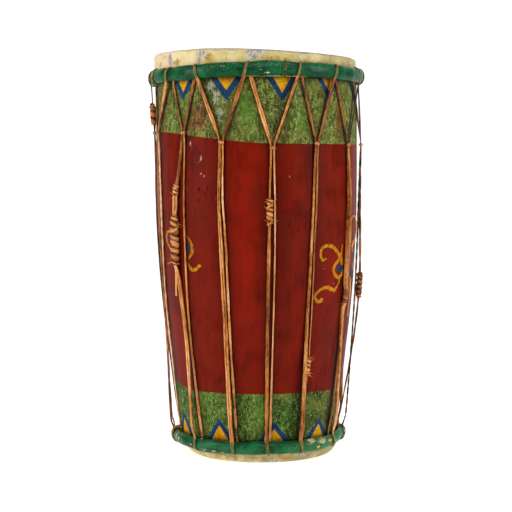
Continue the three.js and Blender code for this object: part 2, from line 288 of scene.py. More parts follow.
bodyShape = {
    "outline": [
        (117.8, 31), (124.4, 76), (133.2, 150), (142.6, 230), (148.4, 306), (151.4, 382), (151.9, 470),
        (151.8, 551),
    ],
    "wall": 11, "sides": 360, "ringStep": 4, "innerStep": 45,
    "foot": [(95, 1.95), (107, 12), (111, 22), (112, 28.5)],
    "shoulder": [(151.8, 551), (151.8, 560.6), (149, 561), (149, 575), (149, 597.5), (138, 597.5)],
    "unevenness": 0.9, "unevenSize": 90, "seed": 3.1, "aboveFoot": 10,
    "tiltFrom": 576, "tiltSpan": 18, "perDegree": 2.5,
}


def bodyRadius(z):  # a smooth curve through the outline
    knots = bodyShape["outline"]
    heights = [height for radius, height in knots]
    radii = [radius for radius, height in knots]
    if z <= heights[0]:
        return radii[0]
    if z >= heights[-1]:
        return radii[-1]
    i = max(k for k in range(len(knots) - 1) if heights[k] <= z)

    def slope(k):
        low, high = max(k - 1, 0), min(k + 1, len(knots) - 1)
        return (radii[high] - radii[low]) / (heights[high] - heights[low])

    span = heights[i + 1] - heights[i]
    t = (z - heights[i]) / span
    return ((2 * t ** 3 - 3 * t ** 2 + 1) * radii[i] + (t ** 3 - 2 * t ** 2 + t) * span * slope(i)
            + (3 * t ** 2 - 2 * t ** 3) * radii[i + 1] + (t ** 3 - t ** 2) * span * slope(i + 1))


# Painted ornament. Triangles: middle angle, apex height, half width at the hoop, apex of the yellow and
# its half width. Scrolls: brush strokes as points of (angle, height), then their half widths; round dots
# are angle, height, half width and half height.
ornament = {
    "perDegree": {"upper": 2.65, "motif": 2.5, "lower": 2.08}, "upperBase": 560, "lowerBase": 33,
    "upperSeen": [
        (-79.6, 528.5, 22, 540.5, 12.3), (-44.1, 528.5, 21.3, 540, 11.7), (-16.4, 527, 23.8, 541.5, 13.7),
        (14.1, 525.5, 23.2, 538, 13), (43.8, 528.5, 22.6, 541.5, 13), (71.8, 527.5, 22.6, 540.5, 13),
    ],
    "upperCount": 12, "near": (40, 60),
    "lowerSeen": [
        (-65.9, 69, 24, 57, 13.8), (-28.3, 65.5, 22.5, 54.5, 13.8), (10.9, 61.5, 23.5, 51, 13.8),
        (47.2, 63, 24, 53, 13.8),
    ],
    "lowerHidden": [88, 128, 168, -152, -112], "upperPlain": (527, 22.5, 540.5, 13),
    "lowerPlain": (64, 23, 53.5, 14.5), "motifMiddle": 73, "backMiddle": -170,
    "fineMesh": [(60, 27, 231, 340), (-51, 19, 278, 345), (-170, 40, 231, 340)],
    "scroll": [
        (
            [
                (42.1, 298.8), (39.8, 296.1), (38.4, 302.1), (38.1, 309.4), (39.5, 315.8), (42.9, 318.5),
                (47.5, 316.6), (51.3, 310.3), (54.6, 303.3), (54.3, 296), (51.4, 290.4),
            ],
            [2.2, 2.2, 2.3, 2.4, 2.4, 2.6, 2.8, 3, 3, 2.8, 2.4],
        ),
        ([(56.9, 318.3), (56.9, 309), (55.7, 300.2)], [1.2, 2.4, 2.6]),
        (
            [(51.8, 292.6), (49.8, 287.7), (49.3, 281.1), (51, 273.5), (54.5, 269.3), (57.4, 273.4)],
            [2.6, 3, 3.2, 3, 3, 2.6],
        ),
        ([(55.9, 269.1), (55.7, 262.5), (53.3, 256.2), (51.5, 251.3)], [2.6, 1.9, 1.9, 2.6]),
        (
            [
                (51.4, 252), (48, 254), (44.4, 257.5), (40.4, 255.8), (37.4, 251.8), (35.3, 246.1),
                (35.5, 240.3), (37.8, 236.3), (40.9, 237.4), (40.4, 240.4),
            ],
            [3, 3.2, 2.6, 2.3, 2.3, 2.3, 2.5, 2.8, 2.8, 2.4],
        ),
    ],
    "scrollDots": [(55.8, 283.2, 8, 5.4)],
    "edgeStrokes": [
        ([(69.3, 308.9), (70.2, 298.4), (69.8, 286)], [0.8, 1.2, 0.8]),
        ([(71, 322), (74, 317), (72, 311), (75, 306)], [2, 5, 3, 2]),
        ([(81, 296), (79.4, 289.5), (76.5, 284), (79, 280)], [4, 5, 3.4, 3]),
        ([(71, 268), (72.2, 263.5), (75.5, 262)], [2, 3.4, 2]),
        ([(55.6, 303), (56.4, 297), (58, 291)], [3.4, 4.4, 4]),
        ([(56.6, 271), (58.4, 274.5), (59.6, 279)], [3, 3.4, 3]),
    ],
    "edgeDots": [(76, 300.5, 8.5, 6), (74, 274, 8.5, 6)],
    "leftStrokes": [
        (
            [
                (-57.9, 339.2), (-62.8, 336.9), (-64.3, 328.2), (-63.1, 319.6), (-59.6, 313.8),
                (-59.3, 304.6),
            ],
            [1.8, 2.4, 2.6, 2.4, 2.2, 1.5],
        ),
        (
            [(-43.2, 331.9), (-41.4, 327.8), (-40, 320.6), (-39.2, 313.4), (-40, 306.1), (-42.8, 298.7)],
            [1.4, 1.9, 2.4, 2.7, 2.4, 1.4],
        ),
        (
            [(-43.2, 291.5), (-41.6, 284.6), (-39.3, 282.6), (-36.8, 285.1), (-35.2, 289.5), (-34, 289.8)],
            [2, 2.8, 2.8, 2.4, 2.4, 1.8],
        ),
        ([(-65, 289), (-60.7, 291.4), (-57.4, 295.6)], [1.4, 1.6, 1.2]),
    ],
    "leftDots": [(-59.7, 325.8, 3.2, 5), (-42.9, 314.9, 3.9, 6.4)],
}


def rounded(points, halfWidths):  # a stroke with its corners cut off twice
    rows = np.column_stack([points, halfWidths])
    for _ in range(2):
        softened = [rows[0]]
        for first, second in zip(rows, rows[1:]):
            softened += [first * 0.75 + second * 0.25, first * 0.25 + second * 0.75]
        rows = np.array(softened + [rows[-1]])
    return rows[:, :2], rows[:, 2]


def strokeField(across, up, points, halfWidths):  # millimetres inside a brush stroke, negative outside
    field = np.full(len(up), -50.0)
    for (a, b), (wa, wb) in zip(zip(points, points[1:]), zip(halfWidths, halfWidths[1:])):
        dx, dz = b[0] - a[0], b[1] - a[1]
        share = np.clip(((across - a[0]) * dx + (up - a[1]) * dz) / (dx * dx + dz * dz), 0, 1)
        distance = np.hypot(across - a[0] - share * dx, up - a[1] - share * dz)
        field = np.maximum(field, wa + (wb - wa) * share - distance)
    return field


def motifFields(angle, z):
    gold = np.full(len(z), -50.0)
    blue = np.full(len(z), -50.0)
    scale = ornament["perDegree"]["motif"]
    behind = wrap(angle - ornament["backMiddle"])
    placings = [(angle, ("scroll", "edge", "left")), (ornament["motifMiddle"] + behind, ("scroll",)),
                (ornament["motifMiddle"] - behind, ("scroll",))]
    for turned, parts in placings:  # the motif behind is the right one and its mirror image
        for part in parts:
            strokes = ornament[part if part == "scroll" else part + "Strokes"]
            for points, halfWidths in strokes:
                middle = points[0][0]
                flat, halves = rounded([((at - middle) * scale, height) for at, height in points], halfWidths)
                gold = np.maximum(gold, strokeField(wrap(turned - middle) * scale, z, flat, halves))
            for at, height, halfWide, halfTall in ornament[part + "Dots"]:
                away = np.hypot(wrap(turned - at) * scale / halfWide, (z - height) / halfTall)
                blue = np.maximum(blue, (1 - away) * min(halfWide, halfTall))
    return gold, blue


# millimetres inside a triangle that reaches from the height of its apex to that of its base
def triangleField(across, up, apex, base, halfWidth):
    tall = abs(base - apex)
    fromApex = (up - apex) * math.copysign(1, base - apex)
    return (fromApex * halfWidth / tall - np.abs(across)) * tall / math.hypot(tall, halfWidth)


def triangleFields(angle, z):
    outer = np.full(len(z), -50.0)
    inner = np.full(len(z), -50.0)
    dice = random.Random(4)
    upper = list(ornament["upperSeen"])
    step = 360 / ornament["upperCount"]
    lastSeen = upper[-1][0]
    apex, halfWidth, yellowApex, yellowHalf = ornament["upperPlain"]
    for i in range(ornament["upperCount"] - len(upper)):
        middle = lastSeen + step * (i + 1) + dice.uniform(-1, 1)
        shape = (apex + dice.uniform(-1.5, 1.5), halfWidth + dice.uniform(-1, 1), yellowApex, yellowHalf)
        upper.append((middle, *shape))
    lower = list(ornament["lowerSeen"])
    apex, halfWidth, yellowApex, yellowHalf = ornament["lowerPlain"]
    for middle in ornament["lowerHidden"]:
        shape = (apex + dice.uniform(-3, 3), halfWidth + dice.uniform(-1, 1), yellowApex, yellowHalf)
        lower.append((middle, *shape))
    for rows, base, scale in ((upper, ornament["upperBase"], ornament["perDegree"]["upper"]),
                              (lower, ornament["lowerBase"], ornament["perDegree"]["lower"])):
        for middle, apex, halfWidth, yellowApex, yellowHalf in rows:
            across = wrap(angle - middle) * scale
            near = (np.abs(across) < ornament["near"][0]) & (np.abs(z - base) < ornament["near"][1])
            wide = triangleField(across, z, apex, base, halfWidth)
            narrow = triangleField(across, z, yellowApex, base, yellowHalf)
            outer = np.where(near, np.maximum(outer, wide), outer)
            inner = np.where(near, np.maximum(inner, narrow), inner)
    return outer, inner


# Marks of age, each (angle, height, half width, half height, strength)
bodyMarks = {
    "brightRed": [
        (-6.5, 330, 20, 150, 0.9), (-12.2, 250, 14, 120, 0.6), (7.1, 430, 18, 40, 0.7),
        (1.6, 180, 16, 60, 0.8), (-55.1, 140, 10, 60, 0.8), (-28, 330, 12, 80, 0.4),
        (-3.8, 445, 18, 25, 0.7), (27, 200, 14, 70, 0.5), (47.7, 260, 20, 60, 0.3),
        (150, 300, 60, 120, 0.5), (-120, 260, 50, 120, 0.5),
    ],
    "darkRed": [
        (15.9, 330, 12, 160, 0.8), (-30.2, 380, 16, 70, 0.6), (7.2, 300, 7, 130, 0.7),
        (52.1, 170, 22, 60, 0.8), (38.1, 330, 14, 100, 0.5), (-16.1, 200, 12, 60, 0.4),
        (-0.7, 385, 14, 24, 0.5), (23.2, 130, 10, 40, 0.5), (100, 200, 40, 80, 0.6),
        (-160, 350, 60, 80, 0.6), (-72.5, 250, 14, 200, 0.5),
    ],
    "brownStain": [
        (-32.1, 505, 19, 26, 1), (-38.1, 494, 19, 13, 1), (-66, 505, 9, 44, 0.9), (-59.9, 540, 9, 30, 0.7),
        (-24.9, 478, 12, 8, 0.7), (15, 480, 18, 14, 0.6), (51.3, 505, 6, 38, 0.9), (55.1, 480, 8, 20, 0.6),
        (61.7, 545, 9, 22, 0.6), (8, 545, 12, 18, 0.4), (43.6, 478, 14, 12, 0.4), (-5.9, 482, 10, 12, 0.5),
        (28.9, 90, 12, 14, 0.4), (61.5, 80, 10, 30, 0.6), (130, 510, 30, 30, 0.7), (-110, 500, 26, 30, 0.8),
        (170, 80, 30, 20, 0.5), (-68.4, 522, 8, 34, 0.6),
    ],
    "abrasion": [
        (-25.2, 548, 10, 12, 1), (-22.4, 531, 8, 17, 1), (-20, 508, 6, 19, 0.95), (25.9, 536, 8, 18, 0.7),
        (22.9, 515, 10, 20, 0.5), (31.8, 495, 10, 16, 0.4), (65.4, 520, 5, 30, 0.5),
        (-53.4, 500, 4, 30, 0.5), (160, 530, 20, 20, 0.7), (-100, 540, 15, 20, 0.8),
    ],
    "brightGreen": [
        (2.2, 80, 6, 30, 1.2), (2.6, 62, 5, 14, 1), (-6, 520, 12, 26, 0.8), (-2.9, 500, 10, 20, 0.6),
        (-41.2, 512, 8, 22, 0.6), (-53.4, 495, 4, 20, 0.8), (23.9, 505, 12, 24, 0.5),
        (-39, 88, 12, 18, 0.4), (19.3, 80, 6, 20, 0.4), (64.5, 540, 5, 12, 0.8),
    ],
    "darkGreen": [
        (11, 530, 8, 22, 0.7), (13, 500, 14, 14, 0.5), (38.7, 540, 8, 18, 0.6), (50.3, 560, 5, 10, 0.6),
        (32.9, 70, 12, 30, 0.5), (-12.8, 75, 6, 30, 0.7), (-1, 550, 8, 10, 0.5), (-61.9, 520, 7, 30, 0.6),
    ],
    "scuff": [
        (-39.1, 466, 2.6, 5, 1), (-31.8, 445, 2.4, 5, 1), (-33.7, 440, 2.2, 3, 0.9),
        (-42.9, 405, 2.2, 4, 1), (-41.8, 401, 2.2, 3, 0.9), (-32.1, 424, 2.2, 3, 0.9),
        (-30.1, 420, 2.2, 3, 0.9), (-36, 273, 2, 2.4, 0.9), (-34.7, 150, 2, 2.4, 0.8),
        (-22.9, 388, 2, 2.4, 0.8), (18, 420, 2, 2.4, 0.7), (-38.3, 461, 2, 3, 0.9),
        (54.1, 270, 2, 2.4, 0.7), (50.5, 262, 2, 2.4, 0.7), (41.5, 285, 2, 2.4, 0.7),
    ],
    "darkNick": [
        (18, 350, 2.4, 9, 0.7), (14, 410, 2.4, 10, 0.6), (40, 300, 2.2, 8, 0.6), (-33.4, 400, 2.4, 6, 1),
        (-30.5, 396, 2.2, 5, 0.9), (-27.9, 402, 2.4, 4, 1), (-29.3, 392, 2.2, 4, 0.9),
        (-33.7, 385, 2.4, 5, 0.9), (-36, 372, 2.2, 7, 0.7), (-31, 376, 2.2, 4, 0.7),
        (-29.1, 360, 2.4, 3, 0.9), (-33.9, 345, 2.2, 6, 0.6), (-36.5, 352, 2.2, 4, 0.6),
        (30.5, 372, 2.4, 5, 0.7), (32.4, 360, 2.2, 8, 0.6), (24.8, 420, 2.4, 6, 0.6),
        (11.1, 455, 3, 3, 0.7), (29.8, 430, 2.4, 7, 0.6), (-12, 440, 2.4, 6, 0.4), (18, 395, 2.4, 8, 0.5),
        (-24, 340, 2.2, 5, 0.5), (26, 300, 2.4, 6, 0.5),
    ],
}


def makeBody():
    shape = bodyShape
    outline = list(shape["foot"])
    z = shape["outline"][0][1]
    while z < shape["outline"][-1][1]:
        outline.append((bodyRadius(z), z))
        z += shape["ringStep"]
    outline += shape["shoulder"]
    z = shape["shoulder"][-1][1] - shape["innerStep"]
    while z > shape["foot"][0][1] + shape["aboveFoot"]:
        outline.append((bodyRadius(z) - shape["wall"], z))
        z -= shape["innerStep"]
    outline.append((shape["foot"][0][0] - shape["wall"], shape["foot"][0][1]))
    body = drawOutline(shape["sides"], outline)
    grid = bmesh.from_edit_mesh(body.data)
    for edge in grid.edges:  # the two open rims, both at the foot
        edge.select_set(edge.is_boundary)
    bpy.ops.mesh.bridge_edge_loops()
    closeNormals()
    bpy.ops.mesh.select_all(action="DESELECT")
    bpy.ops.mesh.select_mode(type="FACE")
    grid = bmesh.from_edit_mesh(body.data)
    for face in grid.faces:  # a finer mesh under the painted scrolls
        middle = face.calc_center_median() / mm
        turn = math.degrees(math.atan2(middle.x, -middle.y))
        outside = math.hypot(middle.x, middle.y) > bodyRadius(middle.z) - 3
        face.select_set(outside and any(abs(wrap(turn - at)) < reach and low < middle.z < high
                                        for at, reach, low, high in ornament["fineMesh"]))
    bpy.ops.mesh.subdivide(number_cuts=2)
    bpy.ops.object.mode_set(mode="OBJECT")
    angle, radius, z = drumCoordinates(body)
    tilted = np.clip((z - shape["tiltFrom"]) / shape["tiltSpan"], 0, 1)
    moveVertices(body, angle, radius, z + rimTilt(angle) * tilted)
    swell(body, shape["unevenSize"], shape["unevenness"], shape["seed"])
    angle, radius, z = drumCoordinates(body)
    gold, blue = motifFields(angle, z)
    outer, inner = triangleFields(angle, z)
    for name, field in (("gold", gold), ("blue", blue), ("triangle", outer), ("yellow", inner)):
        store(body, name, np.clip(field, -20, 20))
    for name, marks in bodyMarks.items():
        store(body, name, blots(angle, z, marks, shape["perDegree"]))
    # painted shade beside the strands and painted shadow next to the two hoops
    store(body, "grime", paintedStrandShade(angle, z))
    return settle(body, "drumBody", bodyPaint(), ["shell"])


rimRise = {
    "side": [-1, -0.75, -0.5, -0.15, 0, 0.15, 0.3, 0.53, 0.82, 1],
    "rise": [1, 1.6, 2.6, 1.2, 0, -1, -2, -3.3, -5.2, -6],
}


# how far the upper rim stands above or below its mean height, from its left side to its right
def rimTilt(angle):
    return np.interp(np.sin(np.radians(angle)), rimRise["side"], rimRise["rise"])


tallGrain = 0.16  # how much features are drawn out up the body


def redPaint(wire, place, grains):
    patches, streaks, fineStreaks = grains[:3]
    redTone = (streaks * 0.45 + patches * 0.55).smooth(0.3, 0.68)
    red = redTone.over(rgb(78, 14, 3), rgb(122, 24, 6))
    red = (patches.smooth(0.42, 0.72) * 0.7).over(red, rgb(104, 26, 8))
    red = (place.scaled(1, 1, 0.4).grain(15, 3).smooth(0.5, 0.66) * 0.5).over(red, rgb(124, 18, 5))
    red = (place.scaled(1, 1, 0.5).grain(21, 3).smooth(0.54, 0.68) * 0.45).over(red, rgb(80, 20, 10))
    red = (wire.attribute("brightRed") * (0.45 + patches * 0.6) * 0.85).over(red, rgb(138, 23, 7))
    red = (wire.attribute("darkRed") * patches.smooth(0.3, 0.6) * 0.7).over(red, rgb(70, 20, 9))
    red = (fineStreaks.smooth(0.62, 0.82) * 0.25).over(red, rgb(66, 18, 8))
    nick = (wire.attribute("darkNick") * 1.1 + fineStreaks * 1.8 - 1.05).smooth(0.42, 0.56)
    return nick.over(red, rgb(44, 12, 6))


def greenPaint(wire, place, x, z, grains):  # the two ends, with stains and rubbed places
    patches, streaks, fineStreaks, specks, fine, mottle = grains
    isLow = 1 - z.smooth(200, 300)
    greenMix = (mottle * 0.5 + specks * 0.3 + fineStreaks * 0.2).smooth(0.42, 0.58)
    upperGreen = greenMix.over(rgb(52, 56, 16), rgb(132, 142, 66))
    lowerGreen = greenMix.over(rgb(40, 58, 16), rgb(98, 132, 54))
    lowerGreen = lowerGreen.tint(rgb(196, 194, 176), x.smooth(0, 60))
    lowerGreen = lowerGreen.tint(rgb(208, 208, 200), x.smooth(62, 100))
    green = isLow.over(upperGreen, lowerGreen)
    broad = place.scaled(1, 1, 0.5).grain(26, 2)
    green = (broad.smooth(0.46, 0.6) * 0.45).over(green, rgb(62, 66, 26))
    green = (patches.smooth(0.44, 0.62) * 0.5).over(green, rgb(112, 118, 54))
    green = (wire.attribute("brightGreen") * (0.2 + mottle * 0.9)).over(green, rgb(92, 146, 50))
    green = (wire.attribute("darkGreen") * mottle.smooth(0.25, 0.55) * 0.8).over(green, rgb(52, 58, 24))
    green = (fine.smooth(0.54, 0.7) * 0.65).over(green, rgb(38, 44, 14))
    darkStreak = (place.scaled(1, 1, tallGrain).grain(3.2, 3, 0.6) + isLow * 0.05).smooth(0.6, 0.72)
    green = (darkStreak * 0.75).over(green, rgb(34, 40, 14))
    stainField = wire.attribute("brownStain") + (streaks - 0.5) * 1.3 + (mottle - 0.5) * 1.3
    stain = stainField.smooth(0.34, 0.8)
    green = (stain * 0.8).over(green, mottle.smooth(0.35, 0.65).over(rgb(70, 52, 24), rgb(138, 76, 44)))
    abrasion = (wire.attribute("abrasion") + (mottle - 0.5) * 2.2 + (specks - 0.5) * 1.2).smooth(0.45, 0.85)
    pale = (fine * 0.5 + fineStreaks * 0.5).smooth(0.42, 0.58).over(rgb(84, 90, 58), rgb(202, 204, 182))
    green = (abrasion * 0.75).over(green, pale)
    flecks = (specks * 0.55 + fine * 0.45 + (mottle - 0.5) * 0.3).smooth(0.575, 0.64)
    return (flecks * 0.8).over(green, rgb(186, 196, 136)), abrasion


def bandMask(wire, x, y, z, handWobble):  # 1 on the two green ends; their edges are not quite level
    turn = wire.maths("ARCTAN2", x, 0 - y) * 57.2958
    leftRise = (0 - turn).smooth(-12, 71) * wire.maths("COSINE", turn / 57.2958).smooth(-1.0, -0.2)
    upperEdge = 466 + leftRise * 18 + handWobble * 0.7
    lowerEdge = 103 + (0 - turn).smooth(48, 76) * 9 - turn.smooth(30, 70) * 2.2 + handWobble * 0.5
    isUpper = (z - upperEdge).smooth(-0.5, 0.5)
    isLower = (lowerEdge - z).smooth(-0.5, 0.5)
    return isUpper.maths("MAXIMUM", isUpper, isLower)


def trianglePaint(wire, green, isGreen, handWobble, grains):
    patches, streaks, _, specks, fine, mottle = grains
    blueTone = (specks * 0.6 + patches * 0.5).smooth(0.4, 0.7)
    blue = blueTone.over(rgb(16, 40, 74), rgb(34, 72, 104))
    yellow = (specks * 0.7 + fine * 0.3).smooth(0.36, 0.62).over(rgb(176, 112, 8), rgb(214, 168, 26))
    yellow = (streaks.smooth(0.5, 0.75) * 0.7).over(yellow, rgb(190, 98, 10))
    triangle = (wire.attribute("triangle") + handWobble * 0.35).smooth(-0.5, 0.5) * isGreen
    inner = (wire.attribute("yellow") + handWobble * 0.35).smooth(-0.5, 0.5) * isGreen
    bare = (wire.attribute("abrasion") + (mottle - 0.5) * 2.0).smooth(0.62, 0.85)
    field = (triangle * (1 - bare * 0.75)).over(green, blue)
    return (inner * (1 - bare * 0.5)).over(field, yellow), triangle, inner


def scrollPaint(wire, colour, handWobble, grains):  # gold brush strokes with blue dots
    specks, fine, mottle = grains[3:]
    goldTone = (specks * 0.5 + fine * 0.3 + mottle * 0.2).smooth(0.4, 0.6)
    gold = goldTone.over(rgb(132, 70, 6), rgb(204, 142, 24))
    goldField = wire.attribute("gold") + handWobble * 0.5 + (specks - 0.5) * 2.4 + (fine - 0.5) * 1.6
    goldMask = goldField.smooth(-0.1, 0.7) * (1 - (specks - 0.5).smooth(0.14, 0.22) * 0.6)
    dotMask = (wire.attribute("blue") + handWobble * 0.3).smooth(-0.4, 0.4)
    colour = dotMask.over(colour, rgb(24, 56, 78))
    return goldMask.over(colour, gold), goldMask


def bodyPaint():
    material, wire = newMaterial("bodyPaint")
    place, x, y, z = drumPosition(wire)
    tall = place.scaled(1, 1, tallGrain)
    patches = place.grain(34, 3)
    streaks = tall.grain(7, 4, 0.6)
    fineStreaks = tall.grain(1.8, 3, 0.6)
    specks = place.grain(2.6, 3, 0.65)
    fine = place.grain(0.9, 2, 0.6)
    mottle = place.scaled(1, 1, 0.55).grain(4.5, 4, 0.7)
    grains = patches, streaks, fineStreaks, specks, fine, mottle
    handWobble = (place.grain(16, 2) - 0.5) * 2.6 + (place.grain(2.2, 2) - 0.5) * 1.5

    isGreen = bandMask(wire, x, y, z, handWobble)
    green, abrasion = greenPaint(wire, place, x, z, grains)
    field, triangle, inner = trianglePaint(wire, green, isGreen, handWobble, grains)
    colour = isGreen.over(redPaint(wire, place, grains), field)
    colour, goldMask = scrollPaint(wire, colour, handWobble, grains)

    # scuffs through to the pale ground
    scuff = (wire.attribute("scuff") + (fine - 0.5) * 1.6 + (specks - 0.5) * 0.9).smooth(0.55, 0.75)
    colour = scuff.over(colour, rgb(214, 170, 140))
    # painted shade: darkens the paint beside the strands and painted shadow next to the hoops
    colour = colour.tint(rgb(74, 50, 36), wire.attribute("grime") * (0.6 + streaks * 0.6))

    roughness = isGreen * 0.16 + 0.4 + (patches - 0.5) * 0.25 + scuff * 0.2 + abrasion * isGreen * 0.15
    height = (streaks * 0.35 + fineStreaks * 0.25 + specks * (0.25 + isGreen * 0.5)
              + fine * (0.1 + isGreen * 0.35) + goldMask * 0.5 + triangle * 0.3 + inner * 0.2
              - abrasion * isGreen * 0.5 - scuff * 0.4)
    closeMaterial(wire, {"Specular IOR Level": 0.04}, colour, roughness, height, 0.7)
    return material


# Skins

skinShape = {
    "sides": 420, "thickness": 1.6, "pleats": 0.45, "sag": 1.2, "skirtSteps": 13,
    "faceRings": (140, 126, 108, 88, 66, 44, 22, 6), "faceGap": 4,
    "bowl": {"front": 2.5, "sides": 8.5, "height": 19},
    "perDegree": 1.9, "curlPerDegree": 2.6, "markedReach": 18, "collarSpan": 12, "nearFace": 22,
    "unevenSize": 30, "unevenness": 0.35, "rimTurns": (18, 36, 54, 72, 90),
    "upper": {"radius": 152.4, "face": 600, "rim": 4.4, "skirt": 561.2, "shift": -1.5, "seed": 7.7},
    "lower": {"radius": 116.8, "face": 0, "rim": 4.6, "skirt": 27, "shift": 3.4, "seed": 2.2},
}
skinMarks = {
    "ochre": [
        (-69, 584, 12, 6, 0.6), (-60, 592, 12, 5, 0.5), (-48, 582, 10, 9, 0.7), (-26, 586, 7, 13, 0.9),
        (-35, 572, 8, 4, 0.6), (4.8, 588, 8, 9, 0.5), (11, 586, 9, 8, 0.75), (17.3, 585, 8, 9, 0.7),
        (28, 579, 8, 6, 0.9), (35.7, 578, 16, 8, 1), (44, 580, 14, 8, 0.8), (53.3, 574, 12, 8, 0.7),
        (66, 578, 8, 10, 0.5), (-9, 574, 18, 4, 0.5), (150, 588, 40, 9, 0.8), (-130, 590, 40, 8, 0.9),
        (-30, 12, 20, 5, 0.8), (20, 6, 16, 4, 0.8), (55, 12, 24, 6, 0.7), (-5, 10, 10, 6, 0.5),
        (170, 10, 60, 6, 0.7),
    ],
    "grey": [
        (-54.8, 589, 5, 12, 1), (-31.2, 595, 8, 5, 1), (-32.5, 584, 4.5, 9, 0.9), (-1, 596, 14, 5, 1),
        (-1.5, 588, 8, 7, 0.8), (-13, 598.5, 9, 2, 0.7), (-22, 599, 12, 1.6, 0.7), (27.3, 577, 5, 3, 0.6),
        (16.9, 598.5, 12, 1.6, 0.8), (26.8, 595, 7, 3, 0.7), (58.7, 574, 6, 5, 0.6), (70, 583, 4, 6, 0.5),
        (-66, 597, 8, 2, 0.6), (120, 595, 20, 4, 0.8), (-150, 596, 22, 4, 0.8), (10, 3, 14, 3, 0.8),
        (34, 10, 10, 4, 0.8), (-50, 8, 12, 3, 0.6),
    ],
    "pale": [
        (2, 580, 10, 5, 0.8), (-15, 588, 14, 7, 0.6), (-29, 578, 8, 5, 0.8), (22, 588, 4, 5, 0.7),
        (-70, 590, 7, 8, 0.4), (59.9, 12, 12, 5, 0.5), (-18, 14, 10, 4, 0.5),
    ],
    "curl": [
        (24.3, 589, 1.5, 1.2, 1), (25.6, 591.2, 2.4, 0.9, 1), (27.6, 590, 1.4, 1.4, 1),
        (28, 586, 1.2, 2, 0.9), (26.2, 583.6, 2.4, 0.9, 0.9), (24.6, 585, 1.2, 1.2, 0.8),
        (31.5, 590.5, 2.5, 0.8, 0.7),
    ],
}


def makeSkin(which, name, nodeName):
    head = skinShape[which]
    up = 1 if which == "upper" else -1
    outline = [(head["radius"], head["skirt"])]
    z = head["skirt"]
    rimStart = head["face"] - up * head["rim"]
    steps = skinShape["skirtSteps"]
    for i in range(1, steps + 1):
        outline.append((head["radius"], z + (rimStart - z) * i / steps))
    for turn in skinShape["rimTurns"]:
        turned = math.radians(turn)
        inward = head["rim"] * (1 - math.cos(turned))
        outline.append((head["radius"] - inward, rimStart + up * head["rim"] * math.sin(turned)))
    for radius in skinShape["faceRings"]:
        if radius < head["radius"] - head["rim"] - skinShape["faceGap"]:
            outline.append((radius, head["face"]))
    skin = drawOutline(skinShape["sides"], outline)
    bpy.ops.mesh.merge(type="CENTER")
    closeNormals()
    bpy.ops.object.mode_set(mode="OBJECT")
    angle, radius, z = drumCoordinates(skin)
    turned = np.radians(angle)
    span = skinShape["collarSpan"]
    upright = np.clip((radius - head["radius"] + span) / span, 0, 1)  # 1 on the collar, 0 on the face
    pleat = (np.sin(turned * 23 + 1.2 * np.sin(turned * 5)) * 0.5 + np.sin(turned * 41 + 2) * 0.3
             + np.sin(turned * 67 + 2 * np.sin(turned * 3)) * 0.2)
    radius = radius + skinShape["pleats"] * pleat * upright
    rise = (np.sin(turned * 3 + 0.6) * 0.45 + np.sin(turned * 7 + 1.1) * 0.35
            + np.sin(turned * 13) * 0.2) * upright
    nearFace = np.clip(1 - np.abs(z - head["face"]) / skinShape["nearFace"], 0, 1)
    if up > 0:
        z = z + nearFace * (rise * 0.5 + rimTilt(angle) * radius / head["radius"])
    else:  # the lower head is rounded like a bowl, most of all at the sides
        bowl = skinShape["bowl"]
        reach = bowl["front"] + bowl["sides"] * np.sin(turned) ** 2
        inward = reach * np.clip(1 - z / bowl["height"], 0, 1) ** 2
        radius = radius - inward * radius / head["radius"]
    z = z - up * skinShape["sag"] * (1 - (radius / head["radius"]) ** 2) * (nearFace > 0.99)
    moveVertices(skin, np.degrees(turned), radius, z)
    for vertex in skin.data.vertices:
        vertex.co.x += head["shift"] * mm
    select(skin)
    modifier = skin.modifiers.new("hide", "SOLIDIFY")
    modifier.thickness = skinShape["thickness"] * mm
    modifier.offset = -1
    bpy.ops.object.modifier_apply(modifier=modifier.name)
    swell(skin, skinShape["unevenSize"], skinShape["unevenness"], head["seed"])
    angle, radius, z = drumCoordinates(skin)
    onCollar = radius > head["radius"] - skinShape["markedReach"]
    for markName, marks in skinMarks.items():
        perDegree = skinShape["curlPerDegree" if markName == "curl" else "perDegree"]
        store(skin, markName, blots(angle, z, marks, perDegree) * onCollar)
    store(skin, "rimLine", np.clip(1 - np.abs(radius - head["radius"] + 2) / 1.6, 0, 1) * (up > 0))
    store(skin, "face", np.clip((head["radius"] - 5 - radius) / 6, 0, 1))
    return settle(skin, name, hideMaterial(), [nodeName], sharpAngle=60)


